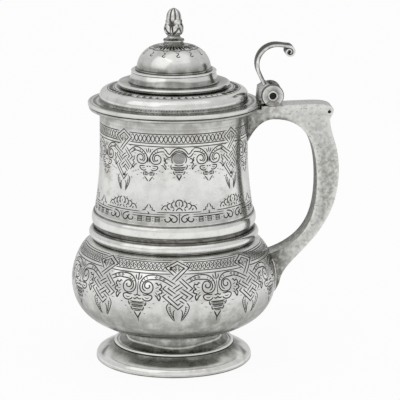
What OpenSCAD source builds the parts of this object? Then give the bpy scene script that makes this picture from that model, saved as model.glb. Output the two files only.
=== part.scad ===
// Lidded silver tankard: barrel over a bulbous bowl, spreading foot, hollow handle and hinged domed lid.
// Millimetres, +Z up. The origin is the centre of the foot's resting plane, and the handle lies along +X.

/* [Body] */
// Outer radius of the barrel at the mouth
barrel_r = 43.4; // [40:0.2:47]
// How far the barrel flares out to the waist, where the bands are seated
flare_out = 3.4; // [2.6:0.1:4.4]
// How far the bowl swells beyond the waist
bowl_out = 13.7; // [12:0.1:15.4]
// Thickness of the raised sheet of bowl, barrel and foot
wall = 1.2; // [0.9:0.1:1.5]
// Height from the bowl's flat base to its widest ring
belly_h = 30.8; // [29:0.2:33]
// Height from the widest ring to the waist
shoulder_h = 25; // [23:0.5:27]
// Height of the barrel above the upper band
barrel_h = 63.3; // [60:0.1:70]
// Height over which the barrel flares out to the waist
flare_h = 39; // [34:1:46]
// Height of the wire round the mouth
lip_wire_h = 2; // [1.6:0.1:2.6]
// How far the mouth wire stands out
lip_wire_t = 1; // [0.7:0.1:1.4]

/* [Waist bands] */
// Height of the lower band
lower_band_h = 6.8; // [6:0.2:8]
// How far the lower band's edges stand out
lower_band_edge = 1; // [0.6:0.1:1.4]
// How far the lower band swells beyond its edges
lower_band_swell = 2.3; // [1.6:0.1:2.8]
// Height of the upper band
upper_band_h = 8.4; // [7:0.2:10]
// How far the upper band's edges stand out
upper_band_edge = 0.4; // [0.3:0.1:0.8]
// How far the upper band swells beyond its edges
upper_band_swell = 1.2; // [0.8:0.1:1.8]
// Bare collar between the bands
band_gap = 1.5; // [1:0.1:2.5]

/* [Foot] */
// Height of the foot
foot_h = 18.2; // [17:0.2:20]
// How far the foot's neck draws in from the bowl's widest ring
neck_in = 32.7; // [31:0.1:34.4]
// Width of the cavetto, from the neck out to the step
cavetto_w = 8.2; // [7.4:0.1:9]
// Width of the foot's skirt outside the step
skirt_w = 10.2; // [9:0.1:11.4]
// Height of the base wire that the foot stands on
rim_wire_h = 1.6; // [1.2:0.1:2.2]
// Radial width of the base wire
rim_wire_w = 2.4; // [2:0.1:3.2]
// How far the base wire draws in at its bottom edge
rim_wire_draw = 0.7; // [0.4:0.1:1]
// Height of the step that carries the bead
foot_step_h = 9.6; // [9:0.1:10.5]
// Radius of the bead wire's section
foot_bead_r = 0.9; // [0.7:0.1:1.1]

/* [Lid] */
// How far the lid's edge stands out beyond the barrel
lid_over = 6.8; // [6.2:0.1:8]
// Thickness of the lid's sheet
lid_t = 1.2; // [0.9:0.1:1.4]
// Depth of the lid's edge
lid_edge_h = 4.5; // [4:0.1:5.2]
// Radial thickness of the reeded edge wire
lid_edge_t = 1.6; // [1.4:0.1:2]
// How far the rounded step is set in from the barrel's mouth
step_in = 0.3; // [0:0.1:0.6]
// Height of the rounded step above the brim
step_h = 7.6; // [7:0.1:8.5]
// Width of the step's rounded shoulder
shoulder_w = 4.3; // [3.6:0.1:5]
// Width of the flat ring between step and cove
annulus_w = 4.4; // [3.8:0.1:5]
// Rise of the flat ring between step and cove
annulus_rise = 0.8; // [0.5:0.1:1.2]
// Width of the cove, in to the riser where the bead ring is seated
cove_w = 2.7; // [2.2:0.1:3.2]
// Height of the ledge above the brim
ledge_h = 11.5; // [11:0.1:12.5]
// Height of the bead ring round the ledge
ledge_ring_h = 1.9; // [1.5:0.1:2.2]
// How far the bead ring stands out
ledge_ring_t = 1.1; // [0.8:0.1:1.4]
// Depth of the bezel below the brim
bezel_h = 5; // [4:0.1:5.5]
// Wall of the bezel
bezel_t = 0.9; // [0.7:0.1:1.2]

/* [Drum and dome] */
// Width of the flat ledge outside the drum
ledge_w = 5.5; // [4.8:0.1:6.2]
// How far the drum narrows to its top
drum_taper = 1.9; // [1.2:0.1:2.4]
// Height of the drum
drum_h = 7; // [6:0.1:8]
// Width of the drum's flat rim outside the dome
drum_rim_w = 2.7; // [2:0.1:3.4]
// Height of the dome
dome_h = 15.2; // [14:0.1:17]
// Width of the flat at the dome's top outside the finial's collar
dome_flat_w = 0.3; // [0.1:0.1:0.8]

/* [Finial] */
// Radius of the collar under the bud
collar_r = 6.1; // [5.6:0.1:6.6]
// Height of the collar
collar_h = 2; // [1.6:0.1:2.6]
// Height of the cast finial above its collar
finial_h = 18.8; // [17:0.1:21]
// Widest radius of the bud
bud_r = 6.1; // [5.6:0.1:6.6]
// Radius of the finial's neck
finial_neck_r = 3.8; // [3.4:0.1:4.2]
// Leaves in each ring of the bud
leaf_count = 6; // [5:1:8]
// Radius of the stud that holds the finial
stud_r = 1.5; // [1.2:0.1:1.8]
// Width of the finial's nut across its flats
nut_af = 6; // [5:0.5:7]
// Thickness of the nut
nut_t = 2.2; // [1.8:0.1:3]

/* [Hinge] */
// Distance of the hinge pin outside the lid's edge
hinge_out = 7; // [6.8:0.1:7.6]
// Height of the hinge pin above the brim
hinge_up = 3.2; // [3:0.1:3.6]
// Radius of the end discs
disc_r = 5.9; // [5.6:0.1:6.2]
// Thickness of each end disc
disc_t = 2.3; // [2:0.1:2.8]
// Radius of the knuckles between the discs
knuckle_r = 4.7; // [4.3:0.1:5]
// Width of the handle's middle knuckle
mid_knuckle_w = 4; // [3:0.2:5]
// Width of each of the lid's knuckles
lid_knuckle_w = 3.6; // [3:0.2:4.4]
// Radius of the pin
pin_r = 1.9; // [1.6:0.1:2.1]
// How far the pin's ends lie below the discs' faces
pin_recess = 0.7; // [0.4:0.1:1]

/* [Thumbpiece] */
// Width of the strap
thumb_w = 12; // [9:0.5:14]
// Thickness of the strap at its root
thumb_t = 1.5; // [1.2:0.1:1.8]
// Thickness of the strap at the end of its scroll
thumb_end_t = 0.6; // [0.5:0.1:0.8]
// Radius of the strap's bow, at mid thickness
bow_r = 11.3; // [10.5:0.1:12]
// Radius at which the scroll starts
scroll_r = 3.05; // [2.9:0.05:3.3]

/* [Handle] */
// How far the handle stands out beyond the bowl
handle_out = 36.3; // [34:0.1:40]
// Width of the handle
handle_w = 15; // [13:0.5:17]
// Thickness of the handle's sheet
handle_t = 1.2; // [0.9:0.1:1.5]
// Depth of the grip at its widest
grip_d = 13.1; // [11:0.1:15]
// Depth of the handle under the hinge
arch_d = 8.1; // [7:0.1:10]
// Slope of the handle's top
top_slope = 1.5; // [0:0.1:3]
// Radius of the vent hole
vent_r = 1.15; // [0.8:0.05:1.4]

/* [Clearances] */
// Gap between the mouth and the lid's sheet
seat_gap = 0.3; // [0.2:0.05:0.5]
// Gap round the bezel in the mouth, which lets the lid swing out
bezel_gap = 0.9; // [0.8:0.05:1.2]
// Gap between the lid's edge and the handle
edge_gap = 0.4; // [0.3:0.05:0.6]
// Gap between neighbouring knuckles
knuckle_gap = 0.3; // [0.2:0.05:0.4]
// Radial running clearance of the pin in the lid's knuckles
pin_run = 0.05; // [0.02:0.01:0.08]
// Radial fit of the pin in the handle's knuckles
pin_fit = 0.01; // [0.01:0.005:0.02]
// Solder film between the handle or lug and the curved faces that carry them
film = 0.05; // [0.02:0.01:0.1]
// Radial gap of the stud in the dome and the collar
stud_gap = 0.1; // [0.05:0.01:0.2]

/* [Hidden] */
$fn = 72;
curve_steps = 12;

// Radii, each from the one next to it
waist_r = barrel_r + flare_out;
bowl_r = waist_r + bowl_out;
neck_r = bowl_r - neck_in;
foot_step_r = neck_r + cavetto_w;
foot_r = foot_step_r + skirt_w;
lid_r = barrel_r + lid_over;
step_r = barrel_r - step_in;
step_top_r = step_r - shoulder_w;
cove_r = step_top_r - annulus_w;
ledge_r = cove_r - cove_w;
drum_foot_r = ledge_r - ledge_w;
drum_top_r = drum_foot_r - drum_taper;
dome_r = drum_top_r - drum_rim_w;
dome_flat_r = collar_r + dome_flat_w;
handle_reach = bowl_r + handle_out;

// Heights up the axis
z_belly = foot_h + belly_h;
z_waist = z_belly + shoulder_h;
z_joint = z_waist + lower_band_h + band_gap / 2;
z_upper_band = z_waist + lower_band_h + band_gap;
z_flare = z_upper_band + upper_band_h;
z_lip = z_flare + barrel_h;
z_under_brim = z_lip + seat_gap;
z_brim = z_under_brim + lid_t;
z_edge = z_brim - lid_edge_h;
z_ledge = z_brim + ledge_h;
z_drum = z_ledge + drum_h;
z_dome = z_drum + dome_h;
z_finial = z_dome + collar_h;

// Hinge axis and knuckles
hinge_x = lid_r + hinge_out;
hinge_z = z_brim + hinge_up;
mid_y = mid_knuckle_w / 2;
lug_y0 = mid_y + knuckle_gap;
lug_y1 = lug_y0 + lid_knuckle_w;
disc_y = lug_y1 + knuckle_gap;
disc_lift = 0.05;
disc_chamfer = 0.6;
disc_foot_w = 6;
eye_w = 0.9;
eye_r = pin_r + eye_w;
eye_h = 0.25;
web_back = 2.4;
web_front = 7;
web_top = 3.6;

// Lid's lug: seat of the thumbpiece, and the tilt of the strap's root
root_tilt = 25;
root_out = 4.5;
root_up = 6.3;
root_half = 1.6;
root_x = hinge_x - root_out;
root_z = hinge_z + root_up;
lug_foot_in = 1.8;
lug_face_in = 0.9;
lug_shoulder_up = 4.3;
lug_drop = 2;

// Handle's outline
handle_top_z = hinge_z - disc_r - disc_lift;
handle_start_x = lid_r + edge_gap;
side_y = handle_w / 2 - handle_t;
arch_out = 0.9;
arch_x = hinge_x + arch_out;
arch_z = handle_top_z - arch_d;
arch_drop = 22.6;
tail_drop = 4.2;
tail_z = z_belly - tail_drop;
tail_out = 1.6;
handle_h = handle_top_z - tail_z;
grip_x = handle_reach - grip_d;
grip_z = tail_z + 0.576 * handle_h;
back_z = tail_z + 0.632 * handle_h;
notch_drop = 8.5;
notch_in = 5.7;
notch_z = handle_top_z - notch_drop;
notch_x = handle_reach - notch_in;
corner_in = 16.8;
corner_x = handle_reach - corner_in;
nose_pull = 19;
nose_lift = 0.5;
vent_out = 0.4;
vent_up = 4.4;
root_rise = 13.3;
bury = 5.4;
bowl_bury = 8.5;

// Points on curves
function bez(a, b, c, d, n = curve_steps) =
    [for (i = [0:n]) let (t = i / n, u = 1 - t)
        u * u * u * a + 3 * u * u * t * b + 3 * u * t * t * c + t * t * t * d];
function arc(c, r, a0, a1, n = curve_steps) =
    [for (i = [0:n]) let (a = a0 + (a1 - a0) * i / n) c + r * [cos(a), sin(a)]];
function backwards(v) = [for (i = [len(v) - 1:-1:0]) v[i]];
function tail(v) = [for (i = [1:len(v) - 1]) v[i]];

// Unit direction of a line of points at one of them, and the line moved to its left by a distance
function along(v, i) =
    let (d = v[min(i + 1, len(v) - 1)] - v[max(i - 1, 0)]) d / norm(d);
function beside(v, t) =
    [for (i = [0:len(v) - 1]) let (d = along(v, i)) v[i] + t * [-d[1], d[0]]];

// Outer line of the bowl, from its flat base to the top of its collar
base_ledge = 0.8;
bowl_base_r = neck_r + base_ledge;
bowl_side = concat(
    bez([bowl_base_r, foot_h], [bowl_base_r, foot_h + 0.06 * belly_h],
        [bowl_r, foot_h + 0.08 * belly_h], [bowl_r, z_belly], 20),
    tail(bez([bowl_r, z_belly], [bowl_r, z_belly + 0.4 * shoulder_h],
             [waist_r + 0.577 * bowl_out, z_waist - 0.044 * shoulder_h], [waist_r, z_waist])));
bowl_line = concat(bowl_side, [[waist_r, z_joint]]);

// Outer line of the barrel, from the joint at the waist to the lip
flare_r = (flare_h * flare_h + flare_out * flare_out) / (2 * flare_out);
barrel_line = concat(
    [[waist_r, z_joint]],
    [for (i = [0:curve_steps]) let (h = flare_h * (1 - i / curve_steps))
        [barrel_r + flare_r - sqrt(flare_r * flare_r - h * h), z_flare + flare_h - h]],
    [[barrel_r, z_lip]]);

// Bowl: closed base, wall inside the outer line
module bowl() {
    inside = concat(
        [[0, foot_h + wall], [bowl_base_r, foot_h + wall]],
        [for (p = beside(bowl_side, wall)) if (p[1] > foot_h + 1.4 * wall) p],
        [[waist_r - wall, z_joint]]);
    color([0.78, 0.78, 0.74])
        rotate_extrude()
            polygon(concat([[0, foot_h]], bowl_line, backwards(inside)));
}

module barrel() {
    color([0.8, 0.8, 0.76])
        rotate_extrude()
            polygon(concat(barrel_line, [for (p = backwards(barrel_line)) p - [wall, 0]]));
}

// Half-round ring on a cylindrical seat
module half_round_ring(seat_r, z0, h, edge, swell) {
    r = (h * h / 4 + swell * swell) / (2 * swell);
    half = asin(h / 2 / r);
    rotate_extrude()
        polygon(concat(
            [[seat_r, z0]],
            arc([seat_r + edge + swell - r, z0 + h / 2], r, -half, half),
            [[seat_r, z0 + h]]));
}

module lower_waist_band() {
    color([0.84, 0.84, 0.82])
        half_round_ring(waist_r, z_waist, lower_band_h, lower_band_edge, lower_band_swell);
}

module upper_waist_band() {
    color([0.84, 0.84, 0.82])
        half_round_ring(waist_r, z_upper_band, upper_band_h, upper_band_edge, upper_band_swell);
}

module lip_wire() {
    edge = lip_wire_t / 2;
    color([0.84, 0.84, 0.82])
        half_round_ring(barrel_r, z_lip - lip_wire_h, lip_wire_h, edge, lip_wire_t - edge);
}

// Foot: rolled rim, ogee up to the bead's step, cavetto up to the neck
bead_set_in = 0.4;
bead_seat_r = foot_step_r - bead_set_in - 2 * foot_bead_r;
module foot() {
    rise = foot_step_h - rim_wire_h;
    cavetto_h = foot_h - foot_step_h;
    hollow = 0.4 * (bead_seat_r - neck_r);
    line = concat(
        bez([foot_r, rim_wire_h], [foot_r, rim_wire_h + 0.42 * rise],
            [foot_step_r, rim_wire_h + 0.67 * rise], [foot_step_r, foot_step_h]),
        [[bead_seat_r, foot_step_h], [bead_seat_r, foot_step_h + foot_bead_r]],
        tail(bez([bead_seat_r, foot_step_h + foot_bead_r], [neck_r + hollow, foot_step_h + 0.19 * cavetto_h],
                 [neck_r, foot_step_h + 0.47 * cavetto_h], [neck_r, foot_h - 0.07 * cavetto_h])),
        [[neck_r, foot_h]]);
    under = concat(
        bez([foot_r - rim_wire_w, rim_wire_h], [foot_r - rim_wire_w, rim_wire_h + 0.3 * rise],
            [foot_step_r - wall, rim_wire_h + 0.5 * rise], [foot_step_r - wall, foot_step_h - wall]),
        [[bead_seat_r - wall, foot_step_h - wall], [bead_seat_r - wall, foot_step_h]],
        tail(bez([bead_seat_r - wall, foot_step_h], [neck_r - wall + hollow, foot_step_h + 0.07 * cavetto_h],
                 [neck_r - wall, foot_step_h + 0.4 * cavetto_h], [neck_r - wall, foot_h - 0.07 * cavetto_h])),
        [[neck_r - wall, foot_h]]);
    color([0.74, 0.74, 0.7])
        rotate_extrude()
            polygon(concat(line, backwards(under)));
}

module foot_rim_wire() {
    color([0.84, 0.84, 0.82])
        rotate_extrude()
            polygon(concat(
                [[foot_r - rim_wire_w, 0]],
                bez([foot_r - rim_wire_draw, 0], [foot_r - rim_wire_draw / 3, 0],
                    [foot_r, rim_wire_h / 3], [foot_r, rim_wire_h], 6),
                [[foot_r - rim_wire_w, rim_wire_h]]));
}

module foot_bead_wire() {
    color([0.86, 0.86, 0.84])
        rotate_extrude()
            intersection() {
                translate([bead_seat_r + foot_bead_r, foot_step_h + foot_bead_r * 0.8])
                    circle(r = foot_bead_r);
                translate([bead_seat_r, foot_step_h])
                    square(3 * foot_bead_r);
            }
}

// Lid: brim, rounded step, flat ring, cove and ledge in one raised sheet
flange_r = lid_r - lid_edge_t;
step_in_r = step_r - lid_t;
drum_seat_w = 2.6;
drum_seat_r = drum_foot_r - drum_seat_w;
module lid_flange() {
    z_step = z_brim + step_h;
    z_cove = z_step + annulus_rise;
    z_seat = z_ledge - ledge_ring_h;
    brim_round = 0.4;
    top = concat(
        [[flange_r, z_brim], [step_r + lid_t, z_brim], [step_r, z_brim + brim_round]],
        tail(bez([step_r, z_brim + brim_round], [step_r + 0.3 * shoulder_w, z_brim + 0.6 * step_h],
                 [step_r - 0.12 * shoulder_w, z_step], [step_top_r, z_step])),
        [[cove_r, z_cove]],
        tail(bez([cove_r, z_cove], [ledge_r + cove_w / 3, z_cove + 0.17 * (z_seat - z_cove)],
                 [ledge_r, z_cove + 0.42 * (z_seat - z_cove)], [ledge_r, z_seat], 6)),
        [[ledge_r, z_ledge], [drum_seat_r, z_ledge]]);
    under = concat(
        [[flange_r, z_under_brim], [step_in_r, z_under_brim], [step_in_r, z_brim + step_h / 2]],
        tail(bez([step_in_r, z_brim + step_h / 2], [step_in_r, z_step - 1.6 * lid_t],
                 [step_top_r + shoulder_w / 3, z_step - lid_t], [step_top_r, z_step - lid_t], 6)),
        [[cove_r, z_cove - lid_t], [ledge_r - lid_t, z_cove - lid_t / 2],
         [ledge_r - lid_t, z_ledge - lid_t], [drum_seat_r, z_ledge - lid_t]]);
    color([0.8, 0.8, 0.77])
        rotate_extrude()
            polygon(concat(top, backwards(under)));
}

// Edge wire: flat band above, groove, and a bead below
module lid_edge_wire() {
    band_h = 0.5 * lid_edge_h;
    groove = 0.5;
    set_in = 0.6;
    chamfer = 0.4;
    bead_r = (lid_edge_h - band_h - groove) / 2;
    low_r = lid_r - set_in;
    color([0.86, 0.86, 0.84])
        rotate_extrude()
            polygon(concat(
                [[flange_r, z_edge]],
                arc([low_r - bead_r, z_edge + bead_r], bead_r, -90, 90, 8),
                [[low_r - bead_r, z_brim - band_h], [lid_r - chamfer, z_brim - band_h],
                 [lid_r, z_brim - band_h + chamfer], [lid_r, z_brim - chamfer], [lid_r - chamfer, z_brim],
                 [flange_r, z_brim]]));
}

module lid_bead_ring() {
    edge = ledge_ring_t * 0.3;
    color([0.87, 0.87, 0.85])
        half_round_ring(ledge_r, z_ledge - ledge_ring_h, ledge_ring_h, edge, ledge_ring_t - edge);
}

// Bezel: seated inside the step, clear of the mouth
module lid_bezel() {
    low_r = barrel_r - wall - bezel_gap;
    z_low = z_under_brim - bezel_h + lid_t;
    z_top = z_brim + step_h / 2;
    color([0.76, 0.76, 0.72])
        rotate_extrude()
            polygon([[low_r - bezel_t, z_low], [low_r, z_low], [low_r, z_under_brim],
                     [step_in_r, z_brim], [step_in_r, z_top], [low_r - bezel_t, z_top]]);
}

// Drum: tapered wall with a flat top that carries the dome
drum_hole_r = dome_r - lid_t;
module lid_drum() {
    chamfer = 0.4;
    color([0.8, 0.8, 0.77])
        rotate_extrude()
            polygon([[drum_foot_r - lid_t, z_ledge], [drum_foot_r, z_ledge],
                     [drum_top_r, z_drum - chamfer], [drum_top_r - chamfer, z_drum],
                     [drum_hole_r, z_drum], [drum_hole_r, z_drum - lid_t],
                     [drum_top_r - lid_t, z_drum - lid_t]]);
}

// Dome: straight foot, then a curve over to the flat under the collar
module lid_dome() {
    straight = 1.5;
    dome_w = dome_r - dome_flat_r;
    line = concat(
        [[dome_r, z_drum]],
        bez([dome_r, z_drum + straight], [dome_r, z_drum + 0.43 * dome_h],
            [dome_r - 0.283 * dome_w, z_dome], [dome_flat_r, z_dome], 16));
    inside = concat(
        [[dome_r - lid_t, z_drum]],
        bez([dome_r - lid_t, z_drum + straight], [dome_r - lid_t, z_drum + 0.4 * dome_h],
            [dome_r - 0.33 * dome_w, z_dome - lid_t], [dome_flat_r, z_dome - lid_t], 16));
    hole_r = stud_r + stud_gap;
    color([0.82, 0.82, 0.79])
        rotate_extrude()
            polygon(concat(line, [[hole_r, z_dome], [hole_r, z_dome - lid_t]], backwards(inside)));
}

module finial_collar() {
    lip = 0.5;
    hole_r = stud_r + stud_gap;
    color([0.7, 0.7, 0.67])
        rotate_extrude()
            polygon([[hole_r, z_dome], [collar_r, z_dome], [collar_r, z_dome + lip],
                     [collar_r - lip, z_dome + collar_h / 2], [collar_r, z_finial - lip],
                     [collar_r, z_finial], [hole_r, z_finial]]);
}

// Bud: turned spool and core, a lower ring of pointed leaves and an upper ring of closed petals
spool_h = 2.6;
z_bud = z_finial + spool_h;
bud_h = finial_h - spool_h;
z_petals = z_bud + 0.42 * bud_h;
z_tip = z_finial + finial_h;
stud_depth = 4;

// Leaf seen from outside: round at its foot and pointed at its tip
function leaf_outline(w, h, foot) =
    let (side = bez([w * foot, 0], [w * 1.15, h * 0.3], [w * 0.95, h * 0.7], [0, h], 8))
        concat(side, backwards([for (p = side) if (p[0] > 0) [-p[0], p[1]]]));

module leaf_ring(z0, w, h, foot, turn) {
    for (i = [0:leaf_count - 1])
        rotate([0, 0, (i + turn) * 360 / leaf_count])
            translate([0, 0, z0])
                rotate([90, 0, 90])
                    linear_extrude(2 * bud_r)
                        polygon(leaf_outline(w, h, foot));
}

module finial_bud() {
    leaf_t = 0.7;
    sink = 0.6;
    leaf_half = bud_r * tan(180 / leaf_count);
    spool_r = 0.98 * collar_r;
    spool = bez([spool_r, z_finial + 0.15 * spool_h], [1.16 * finial_neck_r, z_finial + 0.35 * spool_h],
                [finial_neck_r, z_finial + 0.54 * spool_h], [finial_neck_r, z_bud], 6);
    cup = bez([finial_neck_r, z_bud], [1.08 * bud_r, z_bud + 0.1 * bud_h],
              [1.13 * bud_r, z_bud + 0.38 * bud_h], [0.8 * bud_r, z_bud + 0.56 * bud_h], 8);
    cone = bez([0.72 * bud_r, z_petals], [0.85 * bud_r, z_petals + 0.25 * bud_h],
               [0.475 * bud_r, z_tip - 0.03 * bud_h], [0, z_tip], 8);
    core = concat([for (p = cup) if (p[1] < z_petals) [p[0] - leaf_t, p[1]]],
                  [for (p = cone) if (p[1] > z_petals + 0.03 * bud_h)
                      [max(p[0] - leaf_t, 0), p[1] - leaf_t / 2]]);
    color([0.76, 0.76, 0.73])
        difference() {
            union() {
                rotate_extrude()
                    polygon(concat([[0, z_finial], [spool_r, z_finial]], spool, core));
                intersection() {
                    rotate_extrude()
                        polygon(concat([[0, z_bud]], cup, [[0, z_bud + 0.56 * bud_h]]));
                    leaf_ring(z_bud - sink, leaf_half * 0.9, 0.56 * bud_h, 0.5, 0);
                }
                intersection() {
                    rotate_extrude()
                        polygon(concat([[0, z_petals]], cone));
                    leaf_ring(z_petals - sink, leaf_half * 0.66, z_tip - z_petals + sink, 0.9, 0.5);
                }
            }
            translate([0, 0, z_finial - 1])
                cylinder(r = stud_r, h = stud_depth + 1);
        }
}

module finial_stud() {
    spare = 1.2;
    z_low = z_dome - lid_t - nut_t - spare;
    color([0.72, 0.72, 0.68])
        translate([0, 0, z_low])
            cylinder(r = stud_r, h = z_finial + stud_depth - z_low);
}

module finial_nut() {
    color([0.72, 0.72, 0.68])
        translate([0, 0, z_dome - lid_t - nut_t])
            difference() {
                cylinder(r = nut_af / 2 / cos(30), h = nut_t, $fn = 6);
                translate([0, 0, -1])
                    cylinder(r = stud_r, h = nut_t + 2);
            }
}

// Slab of a side view drawn in x and z, between two y planes
module slab(y0, y1) {
    translate([0, y1, 0])
        rotate([90, 0, 0])
            linear_extrude(y1 - y0)
                children();
}

function handle_top(x) = handle_top_z + (x - hinge_x) * tan(top_slope);

// End disc: turned face with a raised eye round the recessed pin, on a foot soldered to the handle
module end_disc() {
    difference() {
        union() {
            translate([hinge_x, -disc_y, hinge_z])
                rotate([90, 0, 0])
                    rotate_extrude()
                        polygon([[0, 0], [disc_r, 0], [disc_r, disc_t - disc_chamfer],
                                 [disc_r - disc_chamfer, disc_t], [eye_r, disc_t],
                                 [eye_r - eye_h, disc_t + eye_h], [0, disc_t + eye_h]]);
            slab(-disc_y - disc_t + disc_chamfer, -disc_y)
                polygon([[hinge_x - disc_foot_w / 2, handle_top(hinge_x - disc_foot_w / 2)],
                         [hinge_x + disc_foot_w / 2, handle_top(hinge_x + disc_foot_w / 2)],
                         [hinge_x + disc_foot_w / 2, hinge_z], [hinge_x - disc_foot_w / 2, hinge_z]]);
        }
        translate([hinge_x, -disc_y + 1, hinge_z])
            rotate([90, 0, 0])
                cylinder(r = pin_r + pin_fit, h = disc_t + eye_h + 2);
    }
}

module hinge_near_disc() {
    color([0.8, 0.8, 0.77])
        end_disc();
}

module hinge_far_disc() {
    color([0.8, 0.8, 0.77])
        mirror([0, 1, 0])
            end_disc();
}

module hinge_centre_knuckle() {
    color([0.74, 0.74, 0.7])
        difference() {
            slab(-mid_y, mid_y)
                union() {
                    translate([hinge_x, hinge_z])
                        circle(r = knuckle_r);
                    polygon([[hinge_x - web_back, handle_top(hinge_x - web_back)],
                             [hinge_x + web_front, handle_top(hinge_x + web_front)],
                             [hinge_x + web_top, hinge_z], [hinge_x - web_back, hinge_z]]);
                }
            translate([hinge_x, mid_y + 1, hinge_z])
                rotate([90, 0, 0])
                    cylinder(r = pin_r + pin_fit, h = mid_knuckle_w + 2);
        }
}

module hinge_pin() {
    half = disc_y + disc_t - pin_recess;
    color([0.45, 0.45, 0.44])
        translate([hinge_x, half, hinge_z])
            rotate([90, 0, 0])
                cylinder(r = pin_r, h = 2 * half);
}

// Lug: stands on the brim and over the lid's edge, carries two knuckles and the thumbpiece's seat,
// and is slotted round the handle's middle knuckle and its web
module lid_lug() {
    seat = root_half * [cos(root_tilt), sin(root_tilt)];
    root = [root_x, root_z];
    color([0.77, 0.77, 0.73])
        difference() {
            union() {
                slab(-lug_y1, lug_y1)
                    polygon([[lid_r - lug_foot_in, z_brim], [lid_r - lug_face_in, hinge_z + lug_shoulder_up],
                             root - seat, root + seat, [hinge_x, hinge_z + knuckle_r],
                             [hinge_x, hinge_z - knuckle_r], [lid_r, z_brim - lug_drop]]);
                for (s = [-1, 1])
                    translate([hinge_x, s * (lug_y0 + lug_y1) / 2, hinge_z])
                        rotate([90, 0, 0])
                            cylinder(r = knuckle_r, h = lid_knuckle_w, center = true);
            }
            translate([hinge_x, 0, hinge_z])
                rotate([90, 0, 0])
                    cylinder(r = knuckle_r + knuckle_gap, h = 2 * lug_y0, center = true);
            slab(-lug_y0, lug_y0)
                translate([hinge_x - web_back - knuckle_gap, hinge_z - 2 * knuckle_r])
                    square(2 * knuckle_r);
            translate([hinge_x, 0, hinge_z])
                rotate([90, 0, 0])
                    cylinder(r = pin_r + pin_run, h = 2 * lug_y1 + 2, center = true);
            translate([0, 0, z_edge - 1])
                cylinder(r = lid_r + film, h = lid_edge_h + 1);
        }
}

// Thumbpiece: straight root, C-shaped bow, and a scroll rolled in at the end
module thumbpiece() {
    root_len = 7.4;
    root = [root_x, root_z];
    rise = [-sin(root_tilt), cos(root_tilt)];
    bow_start = root + root_len * rise;
    bow_c = bow_start + bow_r * [cos(root_tilt), sin(root_tilt)];
    bow_top = bow_c + [0, bow_r];
    scroll_out = 7.3;
    scroll_drop = 0.7;
    scroll_c = bow_c + [scroll_out, bow_r - scroll_r - scroll_drop];
    scroll_top = scroll_c + [0, scroll_r];
    scroll_turns = 1.5;
    scroll_in = 2.25;
    steps = 30;
    taper_from = 12;
    line = concat(
        [root],
        arc(bow_c, bow_r, 180 + root_tilt, 90, 18),
        tail(bez(bow_top, bow_top + [0.37 * scroll_out, 0],
                 scroll_top - [0.315 * scroll_out, 0], scroll_top, 6)),
        [for (i = [1:steps]) let (a = 90 - 360 * scroll_turns * i / steps)
            scroll_c + (scroll_r - scroll_in * i / steps) * [cos(a), sin(a)]]);
    last = len(line) - 1;
    half = [for (i = [0:last])
        (thumb_t + (thumb_end_t - thumb_t) * max(0, i - taper_from) / (last - taper_from)) / 2];
    left = [for (i = [0:last]) let (d = along(line, i)) line[i] + half[i] * [-d[1], d[0]]];
    right = [for (i = [0:last]) let (d = along(line, i)) line[i] - half[i] * [-d[1], d[0]]];
    color([0.8, 0.8, 0.77])
        slab(-thumb_w / 2, thumb_w / 2)
            polygon(concat(left, backwards(right)));
}

// Inner line of the handle, from the barrel over the arch and down the grip to the bowl
root_up_z = z_belly + root_rise;
inner_line = concat(
    bez([barrel_r - bury, arch_z - arch_drop], [barrel_r - 0.6 * bury, arch_z - arch_drop],
        [arch_x - 0.93 * (arch_x - barrel_r), arch_z], [arch_x, arch_z]),
    tail(bez([arch_x, arch_z], [arch_x + 0.77 * (grip_x - arch_x), arch_z],
             [grip_x, grip_z + 0.595 * (arch_z - grip_z)], [grip_x, grip_z])),
    tail(bez([grip_x, grip_z], [grip_x, grip_z - 0.555 * (grip_z - root_up_z)],
             [bowl_r + 0.67 * (grip_x - bowl_r), root_up_z + 0.16 * (grip_z - root_up_z)],
             [bowl_r - bowl_bury, root_up_z])));

// Outer line of the handle, from under the lid's edge over the top and down the back to the bowl
outer_line = concat(
    [[barrel_r - bury, z_edge - seat_gap], [handle_start_x, z_edge - seat_gap],
     [handle_start_x, handle_top(handle_start_x)]],
    bez([corner_x, handle_top(corner_x)], [corner_x + nose_pull, handle_top(corner_x) + nose_lift],
        [notch_x, notch_z + 0.18 * notch_drop], [notch_x, notch_z], 10),
    tail(bez([notch_x, notch_z], [notch_x + 0.1 * notch_in, notch_z - 0.346 * (notch_z - back_z)],
             [handle_reach, back_z + 0.525 * (notch_z - back_z)], [handle_reach, back_z], 8)),
    tail(bez([handle_reach, back_z], [handle_reach, back_z - 0.58 * (back_z - tail_z)],
             [bowl_r + 2.5 * tail_out, tail_z + 0.232 * (back_z - tail_z)], [bowl_r + tail_out, tail_z], 14)),
    [[bowl_r - bury, tail_z - 2 * bury]]);

// Body of the vessel as one solid, grown by the solder film, for seating the handle
module vessel_solid() {
    rotate_extrude()
        polygon(concat(
            [[0, foot_h]],
            [for (p = concat(bowl_line, tail(barrel_line))) p + [film, 0]],
            [[0, z_lip]]));
}

module handle_side() {
    difference() {
        slab(-handle_w / 2, -side_y)
            polygon(concat(outer_line, [[bowl_r - bowl_bury, tail_z]], backwards(inner_line)));
        vessel_solid();
    }
}

module handle_near_side() {
    color([0.76, 0.77, 0.72])
        difference() {
            handle_side();
            translate([notch_x + vent_out, -side_y + 1, notch_z + vent_up])
                rotate([90, 0, 0])
                    cylinder(r = vent_r, h = handle_t + 2);
        }
}

module handle_far_side() {
    color([0.76, 0.77, 0.72])
        mirror([0, 1, 0])
            handle_side();
}

// Strip of the handle's box section, between the side plates and seated on the vessel
module strap() {
    difference() {
        slab(-side_y, side_y)
            children();
        vessel_solid();
    }
}

module handle_inner_strap() {
    color([0.72, 0.73, 0.68])
        strap()
            polygon(concat(inner_line, backwards(beside(inner_line, handle_t))));
}

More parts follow.
